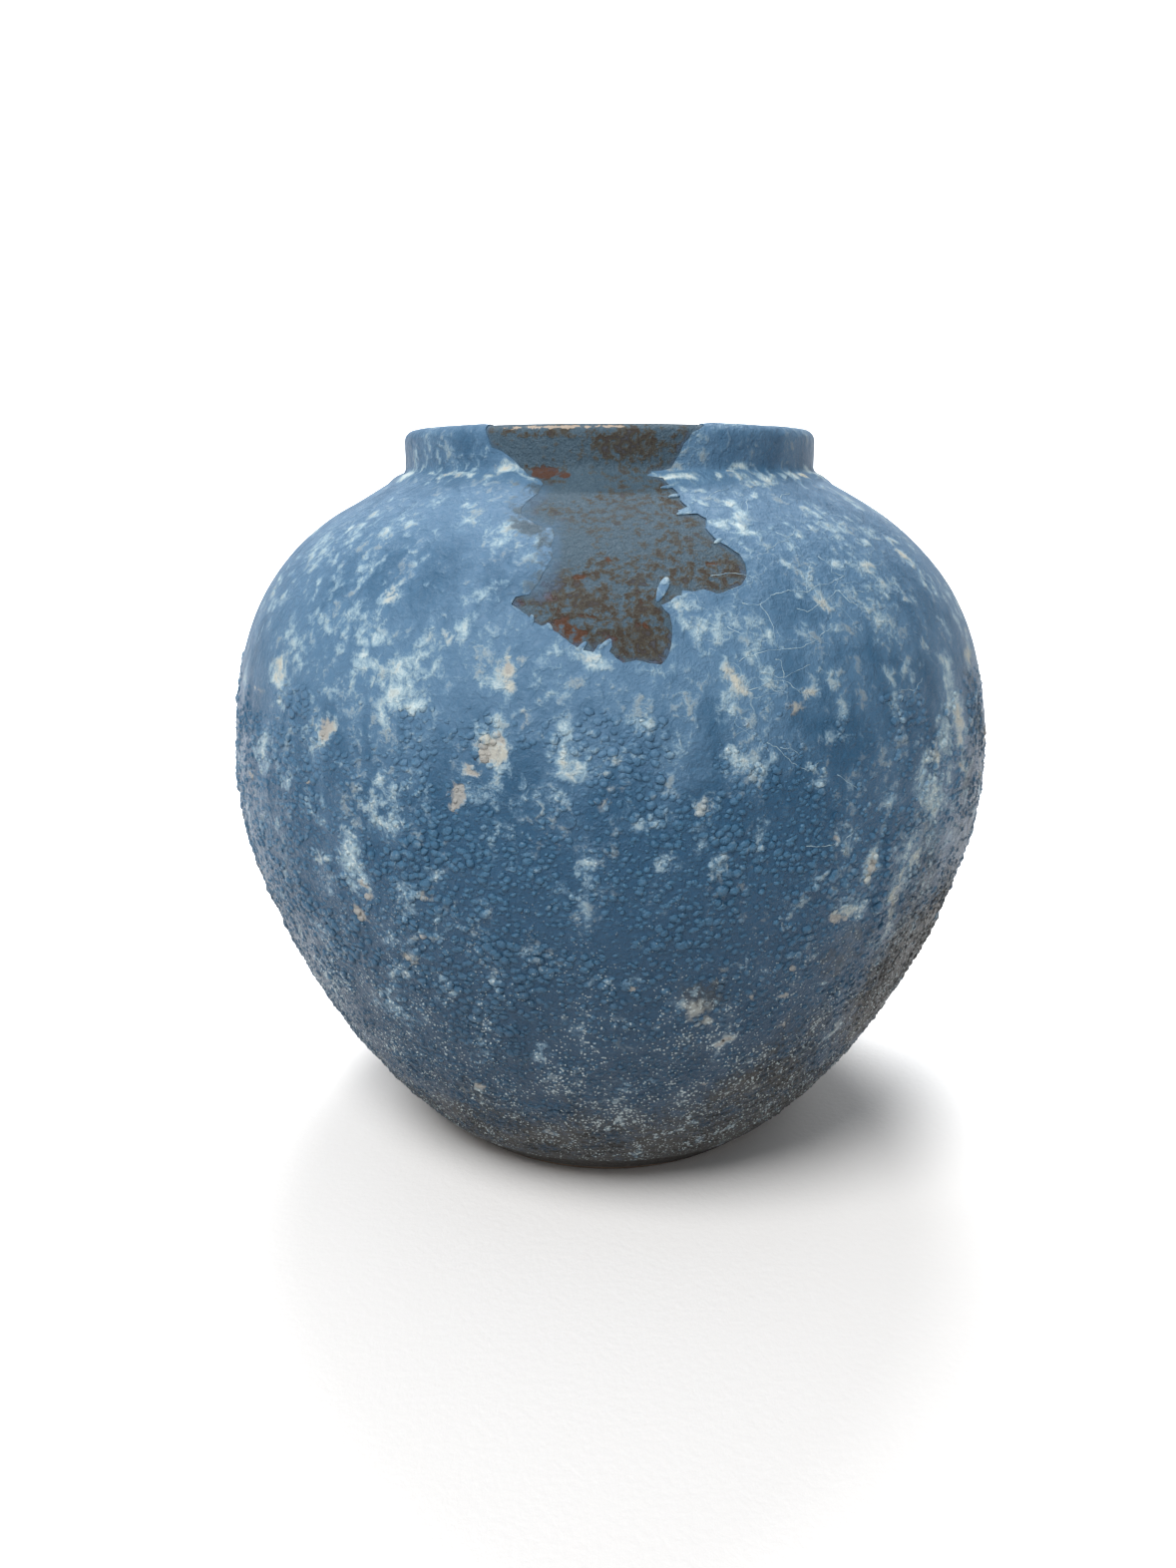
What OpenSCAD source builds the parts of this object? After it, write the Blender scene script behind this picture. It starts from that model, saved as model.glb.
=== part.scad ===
// Round-bellied stoneware vase with a short collar neck.
// Thrown in sections that are luted together, then coated outside with a dark
// iron slip and a thick blue glaze, and inside with a liner glaze.
// Millimetres, +Z up, origin at the centre of the foot on the table.

/* [Body] */
// Diameter of the finished pot at its widest
belly_d = 300; // [280:5:320]
// Height of the widest point above the table
belly_z = 160; // [154:1:166]
// Radius of the wall curve through the belly
belly_arc = 150; // [140:1:150]
// Turn of the belly curve below the widest point, in degrees
belly_turn_down = 14.5; // [12:0.5:17]
// Turn of the belly curve above the widest point, in degrees
belly_turn_up = 15.5; // [13:0.5:18]
// Radius of the long curve from the belly down to the foot
flank_arc = 260; // [250:5:280]
// Radius of the curve over the shoulder
shoulder_arc = 90; // [84:1:92]
// Slope of the shoulder where it meets the collar, in degrees
shoulder_slope = 30; // [28:0.5:32]

/* [Collar] */
// Outside diameter of the collar
collar_d = 160; // [150:1:164]
// Height of the lip above the table
height = 283; // [280:1:288]
// Radius of the hollow where the collar rises from the shoulder
collar_hollow = 3; // [2:0.5:4]

/* [Wall] */
// Thickness of the fired clay
clay_t = 6; // [5:0.5:8]
// Thickness of the iron slip on the outside
slip_t = 0.4; // [0.3:0.1:0.6]
// Thickness of the blue glaze over the slip
glaze_t = 1; // [0.8:0.1:1.2]

/* [Foot] */
// Thickness of the base slab
base_t = 10; // [9:0.5:12]
// Width of the ring that the pot stands on
foot_ring_w = 14; // [10:1:18]
// Depth of the turned hollow inside that ring
foot_hollow = 2; // [1:0.5:3]
// Rounding of the bottom edge
foot_round = 1.5; // [1:0.5:2]
// Height of bare clay left above the table
bare_foot = 4; // [3:0.5:6]
// Height where the blue glaze stops
glaze_stop = 12; // [11:0.5:20]

/* [Luted joints] */
// Height of the V ridge that keys two sections together
key_h = 3; // [2:0.5:4]
// Thickness of the joining slip between two sections
lute_t = 0.6; // [0.4:0.1:1]

/* [Hidden] */
$fn = 180;

// Each surface of the wall is a parallel of the finished outside, set in by these depths.
slip_in = glaze_t;
clay_in = glaze_t + slip_t;
liner_in = clay_in + clay_t;
bore_in = liner_in + clay_in;

lip_r = bore_in / 2;
collar_r = collar_d / 2;
lip_c = [collar_r - lip_r, height - lip_r];
lip_end_z = lip_c[1] - lip_r;
bore_r = collar_r - bore_in;

function polar(r, a) = r * [cos(a), sin(a)];
function tail(points) = [for (i = [1:len(points) - 1]) points[i]];
function reversed(points) = [for (i = [len(points) - 1:-1:0]) points[i]];

// Points on an arc about c from angle a to angle b, with one at its middle
function arc(c, r, a, b) =
    let (turn = abs(b - a), n = 2 * ceil(max(turn / 30, turn * PI / 180 * r / 10)))
    [for (i = [0:n]) c + polar(r, a + (b - a) * i / n)];

// Angle on a circle about c at which it reaches height z
function angle_at(c, r, z) = asin((z - c[1]) / r);

// The three curves of the side are tangent, and their centres stay put for every depth.
belly_c = [belly_d / 2 - belly_arc, belly_z];
flank_c = belly_c + polar(belly_arc - flank_arc, -belly_turn_down);
shoulder_c = belly_c + polar(belly_arc - shoulder_arc, belly_turn_up);
top_turn = 90 - shoulder_slope;

// Side of the pot below its belly joint, from height z0 up to height z1
function lower_side(inset, z0, z1) = concat(
    arc(flank_c, flank_arc - inset,
        angle_at(flank_c, flank_arc - inset, z0), -belly_turn_down),
    tail(arc(belly_c, belly_arc - inset,
        -belly_turn_down, angle_at(belly_c, belly_arc - inset, z1)))
);

// Side of the pot from height z0, on the belly, to the start of the straight slope
function upper_side(inset, z0) = concat(
    arc(belly_c, belly_arc - inset,
        angle_at(belly_c, belly_arc - inset, z0), belly_turn_up),
    tail(arc(shoulder_c, shoulder_arc - inset, belly_turn_up, top_turn))
);

// Start of the straight slope of the shoulder, and its point at a radius
function slope_start(inset) = shoulder_c + polar(shoulder_arc - inset, top_turn);
function slope_at_r(inset, r) =
    [r, slope_start(inset)[1] + (slope_start(inset)[0] - r) * tan(shoulder_slope)];

// Centre of the hollow where the slope turns up into the collar
hollow_x = collar_r + collar_hollow;
hollow_c = [
    hollow_x,
    slope_at_r(0, hollow_x)[1] + collar_hollow / cos(shoulder_slope)
];

// Hollow, collar and lip as one line, ending inside the neck at height z1
function collar_line(inset, z1) = concat(
    arc(hollow_c, collar_hollow + inset, 180 + top_turn, 180),
    arc(lip_c, lip_r - inset, 0, 180),
    [[lip_c[0] - lip_r + inset, z1]]
);

// Heights of the three joints, taken at the underside of the joining slip
belly_joint_z = belly_z;
collar_joint_z = hollow_c[1] + 1;

function lower_r(inset, z) =
    flank_c[0] + sqrt(pow(flank_arc - inset, 2) - pow(z - flank_c[1], 2));
function belly_r(inset, z) =
    belly_c[0] + sqrt(pow(belly_arc - inset, 2) - pow(z - belly_c[1], 2));

// A joint's outline across the wall from r0 to r1, with a V key about the middle radius
function key_line(r0, r1, z, middle, half) =
    [[r0, z], [middle - half, z], [middle, z + key_h], [middle + half, z], [r1, z]];

function mean(a, b) = (a + b) / 2;
function key_half(r0, r1) = (r1 - r0) / 4;

function base_key(lift) =
    let (r0 = lower_r(liner_in, base_t), r1 = lower_r(clay_in, base_t))
    key_line(lower_r(liner_in, base_t + lift), lower_r(clay_in, base_t + lift),
        base_t + lift, mean(r0, r1), key_half(r0, r1));
function belly_key(lift) =
    let (r0 = belly_r(liner_in, belly_joint_z), r1 = belly_r(clay_in, belly_joint_z))
    key_line(belly_r(liner_in, belly_joint_z + lift), belly_r(clay_in, belly_joint_z + lift),
        belly_joint_z + lift, mean(r0, r1), key_half(r0, r1));
function collar_key(lift) =
    let (r0 = bore_r + clay_in, r1 = collar_r - clay_in)
    key_line(r0, r1, collar_joint_z + lift, mean(r0, r1), key_half(r0, r1));

module turned(points) {
    rotate_extrude() polygon(points);
}

// Ring of joining slip that fills the gap along a key
module lute(lower_line, upper_line) {
    color("#8f7d6c") turned(concat(lower_line, reversed(upper_line)));
}

// Thick disc that closes the bottom, turned hollow inside the ring it stands on
module base_slab() {
    round_c = [lower_r(clay_in + foot_round, foot_round), foot_round];
    side_arc = flank_arc - clay_in;
    side_start = angle_at(flank_c, side_arc - foot_round, foot_round);
    ring_in = round_c[0] - foot_ring_w;
    color("#6f6157") turned(concat(
        [[0, foot_hollow], [ring_in - foot_hollow, foot_hollow], [ring_in, 0]],
        arc(round_c, foot_round, -90, side_start),
        tail(arc(flank_c, side_arc, side_start, angle_at(flank_c, side_arc, base_t))),
        tail(reversed(base_key(0))),
        [[0, base_t]]
    ));
}

module base_lute() {
    lute(base_key(0), base_key(lute_t));
}

// Bowl-shaped section from the base up to the widest point
module lower_wall() {
    z0 = base_t + lute_t;
    color("#75675c") turned(concat(
        base_key(lute_t),
        tail(lower_side(clay_in, z0, belly_joint_z)),
        tail(reversed(belly_key(0))),
        tail(reversed(tail(lower_side(liner_in, z0, belly_joint_z))))
    ));
}

module belly_lute() {
    lute(belly_key(0), belly_key(lute_t));
}

// Domed section from the widest point up to the seat of the collar
module upper_wall() {
    z0 = belly_joint_z + lute_t;
    bore_clay_r = bore_r + clay_in;
    color("#7a6b5f") turned(concat(
        belly_key(lute_t),
        tail(upper_side(clay_in, z0)),
        arc(hollow_c, collar_hollow + clay_in, 180 + top_turn,
            180 + angle_at([0, 0], collar_hollow + clay_in, hollow_c[1] - collar_joint_z)),
        tail(reversed(collar_key(0))),
        [slope_at_r(liner_in, bore_clay_r)],
        tail(reversed(tail(upper_side(liner_in, z0))))
    ));
}

module collar_lute() {
    lute(collar_key(0), collar_key(lute_t));
}

// Short ring with a rounded lip, standing on the shoulder
module neck_collar() {
    color("#7a6b5f") turned(concat(
        collar_key(lute_t),
        arc(lip_c, lip_r - clay_in, 0, 180)
    ));
}

// Coat over the whole inside, up to the turned-in edge of the outer coats
module liner_glaze() {
    floor_z = base_t + clay_in;
    color("#5c6a72") turned(concat(
        [[0, base_t]],
        lower_side(liner_in, base_t, belly_z),
        tail(upper_side(liner_in, belly_z)),
        [
            slope_at_r(liner_in, bore_r + clay_in),
            [bore_r + clay_in, lip_end_z],
            [bore_r, lip_end_z],
            slope_at_r(bore_in, bore_r)
        ],
        reversed(upper_side(bore_in, belly_z)),
        tail(reversed(lower_side(bore_in, floor_z, belly_z))),
        [[0, floor_z]]
    ));
}

// A coat on the outside between two depths, from height z0 up over the lip
module outer_coat(inset, depth, z0) {
    turned(concat(
        lower_side(inset, z0, belly_z),
        tail(upper_side(inset, belly_z)),
        collar_line(inset, lip_end_z),
        reversed(collar_line(depth, lip_end_z)),
        reversed(upper_side(depth, belly_z)),
        tail(reversed(lower_side(depth, z0, belly_z)))
    ));
}

// Dark slip that lies under the glaze and shows where the glaze is missing
module iron_slip() {
    color("#5a5048") outer_coat(slip_in, clay_in, bare_foot);
}

// Outline of the place on the front that the blue glaze left bare, across and up
bare_patch = [
    [-43, 290], [-42, 281], [-36, 273], [-30, 268.5], [-22, 263], [-27, 257], [-28, 253],
    [-17, 247.5], [-17, 241], [-21, 234], [-29, 228], [-13, 219.5], [1, 217], [4, 212.5],
    [16, 212], [19, 223], [16, 228], [22, 232], [33, 231], [42, 236], [41, 242],
    [31, 250], [23, 254.5], [23, 260], [18, 265], [21, 268], [28, 279.5], [33, 290]
];

module blue_glaze() {
    color("#4d7496") difference() {
        outer_coat(0, slip_in, glaze_stop);
        rotate([90, 0, 0])
            linear_extrude(height = belly_d) polygon(bare_patch);
    }
}

base_slab();
base_lute();
lower_wall();
belly_lute();
upper_wall();
collar_lute();
neck_collar();
liner_glaze();
iron_slip();
blue_glaze();
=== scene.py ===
import math
import random

import bpy
import numpy as np
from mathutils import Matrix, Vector


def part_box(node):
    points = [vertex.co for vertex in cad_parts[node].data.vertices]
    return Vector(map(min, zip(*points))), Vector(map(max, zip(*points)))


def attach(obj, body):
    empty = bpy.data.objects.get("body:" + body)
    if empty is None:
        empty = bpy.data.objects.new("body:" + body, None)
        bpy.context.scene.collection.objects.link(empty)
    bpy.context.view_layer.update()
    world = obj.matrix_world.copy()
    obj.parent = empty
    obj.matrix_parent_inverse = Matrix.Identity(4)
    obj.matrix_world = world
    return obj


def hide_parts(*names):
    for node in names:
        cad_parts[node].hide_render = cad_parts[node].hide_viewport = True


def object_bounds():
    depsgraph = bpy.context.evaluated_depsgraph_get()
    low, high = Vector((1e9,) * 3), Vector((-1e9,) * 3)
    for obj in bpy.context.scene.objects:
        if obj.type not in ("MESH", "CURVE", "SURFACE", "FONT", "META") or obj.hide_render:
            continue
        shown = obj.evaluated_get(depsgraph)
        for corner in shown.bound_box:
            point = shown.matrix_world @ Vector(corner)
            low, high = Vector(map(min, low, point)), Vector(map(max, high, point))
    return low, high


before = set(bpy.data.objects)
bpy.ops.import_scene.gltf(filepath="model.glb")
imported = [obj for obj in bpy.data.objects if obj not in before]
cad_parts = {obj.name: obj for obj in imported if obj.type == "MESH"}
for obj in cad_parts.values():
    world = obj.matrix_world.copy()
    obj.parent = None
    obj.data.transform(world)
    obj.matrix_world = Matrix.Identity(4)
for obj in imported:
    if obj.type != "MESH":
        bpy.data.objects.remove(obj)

bl_info = {
    "name": "Stoneware vase",
    "version": (1, 0, 0),
    "blender": (4, 5, 0),
    "location": "3D View > Sidebar > Vase",
    "description": "Coats, beads and finishes of a round-bellied stoneware vase",
    "category": "Object",
}

CAD_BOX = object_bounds()
MM = 0.001


def srgb(red, green, blue):
    """A colour from its 0-255 display values, as the linear values that Blender keeps."""
    def linear(v):
        v /= 255
        return v / 12.92 if v <= 0.04045 else ((v + 0.055) / 1.055) ** 2.4
    return linear(red), linear(green), linear(blue)


# --- Sizes that come from the frame, in millimetres ---------------------------------------------

def reach(node):
    """Largest radius of a turned node."""
    low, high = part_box(node)
    return round((high.x - low.x) / 2 / MM, 1)


HEIGHT = round(CAD_BOX[1].z / MM, 1)
BELLY_R = reach("blue_glaze")
GLAZE_DEPTH = round(BELLY_R - reach("iron_slip"), 1)
CLAY_DEPTH = round(BELLY_R - reach("lower_wall"), 1)
LINER_DEPTH = round(BELLY_R - reach("liner_glaze"), 1)
COLLAR_R = reach("neck_collar") + CLAY_DEPTH  # the outside of the coats on the collar
GLAZE_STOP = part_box("blue_glaze")[0].z / MM
SLIP_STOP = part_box("iron_slip")[0].z / MM
FLOOR_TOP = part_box("liner_glaze")[0].z / MM
WALL_IN = LINER_DEPTH + CLAY_DEPTH  # the liner is as thick as the two outer coats
LIP_R = WALL_IN / 2


# --- Properties ----------------------------------------------------------------------------------

def measure(name, description, default, unit="NONE"):
    """A length in mm, an angle in degrees or a plain number, or one in a unit of Blender's own."""
    return bpy.props.FloatProperty(
        name=name, description=description, default=default, unit=unit)


def colour(name, description, default):
    """A colour given by its 0-255 display values."""
    return bpy.props.FloatVectorProperty(
        name=name, description=description, default=srgb(*default), subtype="COLOR", min=0, max=1)


class VaseForm(bpy.types.PropertyGroup):
    belly_z: measure("Belly height", "Height of the widest point in mm", 160)
    belly_arc: measure("Belly curve", "Radius of the curve through the belly in mm", 150)
    turn_down: measure("Turn below", "Turn of the belly curve below the widest point in degrees", 14.5)
    turn_up: measure("Turn above", "Turn of the belly curve above the widest point in degrees", 15.5)
    flank_arc: measure("Flank curve", "Radius of the long curve down to the foot in mm", 260)
    shoulder_arc: measure("Shoulder curve", "Radius of the curve over the shoulder in mm", 90)
    slope: measure("Shoulder slope", "Slope of the shoulder at the collar in degrees", 30)
    hollow: measure("Collar hollow", "Radius where the collar rises from the shoulder in mm", 3)
    bead_pitch: measure("Bead spacing", "Distance between the glaze beads at the belly in mm", 2.9)
    crack_width: measure("Crack width", "Width of the hairline cracks in mm", 0.26)
    ring_pitch: measure("Throwing rings", "Height of one throwing ring inside in mm", 9)


class VaseColours(bpy.types.PropertyGroup):
    deep: colour("Deep blue", "Where the glaze is thick", (38, 77, 106))
    blue: colour("Blue", "The glaze at its usual thickness", (73, 106, 134))
    sky: colour("Pale blue", "The glaze where it is thin on the shoulder", (100, 131, 154))
    milk: colour("Milk", "Clouded white-blue blotches", (150, 172, 181))
    cream: colour("Cream", "Warm cores of the blotches", (166, 162, 148))
    chip: colour("Chip", "Bare flakes", (144, 143, 139))
    ash: colour("Ash", "Grey-brown where the glaze is very thin", (56, 53, 48))
    slip: colour("Slip", "Blue-grey iron slip", (56, 76, 90))
    brown: colour("Brown", "Slip broken to brown", (62, 55, 44))
    rust: colour("Rust", "Slip broken to rust red", (74, 47, 32))
    clay: colour("Clay", "Bare stoneware", (118, 100, 84))
    liner: colour("Liner", "Glaze inside", (74, 92, 106))


class VaseStage(bpy.types.PropertyGroup):
    lens: measure("Lens", "Focal length of the camera", 26, "CAMERA")
    distance: measure("Distance", "From the pot's axis to the camera, in belly diameters", 1.5587)
    eye_height: measure("Eye height", "Height of the camera, in heights of the pot", 0.9273)
    tilt: measure("Tilt", "How far the camera looks down", math.radians(14.76), "ROTATION")
    turn: measure("Turn", "How far the camera looks to the left", math.radians(1.01), "ROTATION")
    sweep_size: measure("Sweep", "Width of the paper", 12, "LENGTH")
    sweep_start: measure("Sweep start", "How far behind the pot the paper starts to rise", 2, "LENGTH")
    sweep_rise: measure("Sweep rise", "Radius of the curve in which it rises", 4, "LENGTH")
    room_light: measure("Room light", "Strength of the even light", 0.4)
    key_power: measure("Key light", "Power of the key light", 26.3, "POWER")
    backdrop_power: measure("Backdrop light", "Power of the light on the paper", 560, "POWER")


# --- The form, worked out as on the drawing ------------------------------------------------------

def polar(radius, degrees):
    """A step of this length at this angle, as (radius, height)."""
    return radius * np.array((math.cos(math.radians(degrees)), math.sin(math.radians(degrees))))


class Form:
    """Centres and radii of the wall's curves, in mm as (radius, height)."""

    def __init__(self, form):
        self.form = form
        self.belly = np.array((BELLY_R - form.belly_arc, form.belly_z))
        self.flank = self.belly + polar(form.belly_arc - form.flank_arc, -form.turn_down)
        self.shoulder = self.belly + polar(form.belly_arc - form.shoulder_arc, form.turn_up)
        self.top_turn = 90 - form.slope
        hollow_x = COLLAR_R + form.hollow
        self.hollow = np.array((hollow_x, self.slope_z(0, hollow_x)
                                + form.hollow / math.cos(math.radians(form.slope))))
        self.lip = np.array((COLLAR_R - LIP_R, HEIGHT - LIP_R))
        self.bore_r = COLLAR_R - WALL_IN
        self.lip_end = self.lip[1] - LIP_R

    def slope_z(self, depth, radius):
        """Height of the straight shoulder at a radius."""
        start = self.shoulder + polar(self.form.shoulder_arc - depth, self.top_turn)
        return start[1] + (start[0] - radius) * math.tan(math.radians(self.form.slope))

    def flank_angle(self, depth, height):
        """Angle about the flank's centre at which its curve passes a height."""
        return math.degrees(math.asin((height - self.flank[1]) / (self.form.flank_arc - depth)))

    def wall(self, depth, foot):
        """The wall's curves upwards from the height of the foot: centre, radius, from and to angle."""
        form = self.form
        return [
            (self.flank, form.flank_arc - depth, self.flank_angle(depth, foot), -form.turn_down),
            (self.belly, form.belly_arc - depth, -form.turn_down, form.turn_up),
            (self.shoulder, form.shoulder_arc - depth, form.turn_up, self.top_turn),
        ]

    def neck(self, depth):
        """Hollow and lip curves, upwards."""
        return [
            (self.hollow, self.form.hollow + depth, 180 + self.top_turn, 180),
            (self.lip, LIP_R - depth, 0, 180),
        ]


def pick(*pieces):
    """Selects only these pieces and makes the first one active."""
    bpy.ops.object.select_all(action="DESELECT")
    for piece in pieces:
        piece.select_set(True)
    bpy.context.view_layer.objects.active = pieces[0]


def finish_mesh():
    """Points every face of the piece in edit mode outwards and goes back to object mode."""
    bpy.ops.mesh.select_all(action="SELECT")
    bpy.ops.mesh.normals_make_consistent(inside=False)
    bpy.ops.object.mode_set(mode="OBJECT")


def join(pieces, name):
    """Joins pieces into the first one and names it."""
    pick(*pieces)
    bpy.ops.object.join()
    pieces[0].name = pieces[0].data.name = name
    return pieces[0]


class Outline:
    """A line drawn with the vertex tools and then turned on the wheel."""

    def __init__(self, name, radius, height):
        bpy.ops.object.select_all(action="DESELECT")
        bpy.ops.mesh.primitive_plane_add(size=MM, location=(radius * MM, 0, height * MM))
        bpy.ops.object.transform_apply(location=True)
        self.piece = bpy.context.object
        self.piece.name = self.piece.data.name = name
        bpy.ops.object.mode_set(mode="EDIT")
        bpy.ops.mesh.merge(type="CENTER")
        self.start = self.at = np.array((radius, height))

    def run_to(self, point, steps=1):
        """Straight stretch to a point."""
        move = (np.array(point) - self.at) / steps
        for _ in range(steps):
            bpy.ops.mesh.extrude_region_move(
                TRANSFORM_OT_translate={"value": (move[0] * MM, 0, move[1] * MM)})
        self.at = np.array(point)

    def curve(self, arc, spacing, back=False):
        """Round stretch along an arc, after a straight one to its start if there is a gap."""
        centre, radius, first, last = arc
        if back:
            first, last = last, first
        start = centre + polar(radius, first)
        gap = np.linalg.norm(start - self.at)
        if gap > 0.001:
            self.run_to(start, max(1, round(gap / spacing)))
        turn = math.radians(last - first)
        steps = max(3, round(abs(turn) * radius / spacing))
        bpy.ops.mesh.spin(
            steps=steps, angle=turn, center=(centre[0] * MM, 0, centre[1] * MM), axis=(0, 1, 0))
        self.at = centre + polar(radius, last)

    def lathe(self, segments):
        """Closes the line, turns it about the pot's axis and points its faces outwards."""
        if self.start[0] > 0:
            self.run_to(self.start)
        bpy.ops.mesh.select_all(action="SELECT")
        bpy.ops.mesh.spin(steps=segments, angle=math.tau, use_auto_merge=True,
                          center=(0, 0, 0), axis=(0, 0, 1))
        bpy.ops.mesh.select_all(action="SELECT")
        bpy.ops.mesh.remove_doubles(threshold=0.01 * MM)
        finish_mesh()
        bpy.ops.object.shade_smooth()
        return self.piece


# --- Places on the pot: degrees round from the front, mm up along the wall -----------------------

class Surface:
    """The finished outside as a fine line, with the way up along it."""

    def __init__(self, shape):
        points = []
        for centre, radius, first, last in shape.wall(0, 0) + shape.neck(0):
            count = max(8, round(abs(math.radians(last - first)) * radius / 0.25))
            points += [centre + polar(radius, a) for a in np.linspace(first, last, count)]
        points.append(np.array((shape.bore_r, shape.lip_end)))
        line = np.array(points)
        way = np.concatenate([[0], np.cumsum(np.hypot(*np.diff(line, axis=0).T))])
        self.way = np.arange(0, way[-1], 0.25)
        self.r = np.interp(self.way, way, line[:, 0])
        self.z = np.interp(self.way, way, line[:, 1])
        slope_r, slope_z = np.gradient(self.r), np.gradient(self.z)
        size = np.hypot(slope_r, slope_z)
        self.out_r, self.out_z = slope_z / size, -slope_r / size
        self.rim = self.way[np.argmax(self.z)]

    def locate(self, co):
        """Degrees, way up and depth below the outside of points given in metres."""
        round_deg = np.degrees(np.arctan2(co[:, 0], -co[:, 1]))
        r, z = np.hypot(co[:, 0], co[:, 1]) / MM, co[:, 2] / MM
        top = np.argmax(self.z)
        over = (r < self.r[top]) & (z > self.z[-1])
        up = np.where(over, np.interp(-z, -self.z[top:], self.way[top:]),
                      np.interp(z, self.z[:top], self.way[:top]))
        for _ in range(4):
            gap_r, gap_z = r - self.radius(up), z - self.height(up)
            out_r, out_z = np.interp(up, self.way, self.out_r), np.interp(up, self.way, self.out_z)
            up = up + np.clip(gap_z * out_r - gap_r * out_z, -4, 4)
            up = np.clip(up, self.way[0], self.way[-1])
        gap_r, gap_z = r - self.radius(up), z - self.height(up)
        return round_deg, up, -(gap_r * out_r + gap_z * out_z)

    def radius(self, up):
        return np.interp(up, self.way, self.r)

    def height(self, up):
        return np.interp(up, self.way, self.z)

    def outward(self, round_deg, up):
        """Unit normals."""
        a = np.radians(round_deg)
        out_r = np.interp(up, self.way, self.out_r)
        return np.stack([out_r * np.sin(a), -out_r * np.cos(a),
                         np.interp(up, self.way, self.out_z)], axis=-1)

    def point(self, round_deg, up, lift=0.0):
        """Places in metres."""
        a = np.radians(round_deg)
        r = self.radius(up)
        place = np.stack([r * np.sin(a), -r * np.cos(a), self.height(up)], axis=-1)
        return (place + self.outward(round_deg, up) * np.asarray(lift)[..., None]) * MM


def directions(surface, round_deg, up, lean):
    """Right, up and out of things on the wall whose tops lean to the right by degrees."""
    out = surface.outward(round_deg, up)
    a = np.radians(round_deg)
    turn = np.radians(np.asarray(lean))[..., None]
    across = np.stack([np.cos(a), np.sin(a), np.zeros_like(a)], axis=-1)
    along = np.cross(out, across)
    right = across * np.cos(turn) - along * np.sin(turn)
    top = along * np.cos(turn) + across * np.sin(turn)
    return right, top, out


def smooth(value, low, high):
    """Smooth step from 0 at low to 1 at high."""
    t = np.clip((value - low) / (high - low), 0, 1)
    return t * t * (3 - 2 * t)


def ridge(up, middle, width):
    """A soft ridge, 1 high, round the pot at a way up the wall."""
    return np.exp(-((up - middle) / width) ** 2)


def read(piece):
    """Where the corners of a piece are, in metres."""
    co = np.empty(len(piece.data.vertices) * 3)
    piece.data.vertices.foreach_get("co", co)
    return co.reshape(-1, 3)


def write(piece, co):
    """Moves the corners of a piece."""
    piece.data.vertices.foreach_set("co", co.ravel())
    piece.data.update()


def ripple(co, wave, seed, flat=1.0):
    """Soft lumps from -1 to 1, about wave mm wide and flat times as wide as they are tall."""
    lattice = np.random.default_rng(seed).uniform(-1, 1, (64, 64, 64))
    place = co * (1, 1, flat) / (wave * MM)
    cell = np.floor(place).astype(int)
    t = place - cell
    t = t * t * (3 - 2 * t)
    total = np.zeros(len(co))
    for corner in np.ndindex(2, 2, 2):
        weight = np.prod(np.where(corner, t, 1 - t), axis=1)
        x, y, z = ((cell + corner) & 63).T
        total += weight * lattice[x, y, z]
    return total


# --- What shows on the glaze, read off the pot ---------------------------------------------------
# Each mark is degrees round, mm up the wall, half width in degrees, half height in mm,
# lean in degrees (positive leans its top to the right) and strength.

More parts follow.
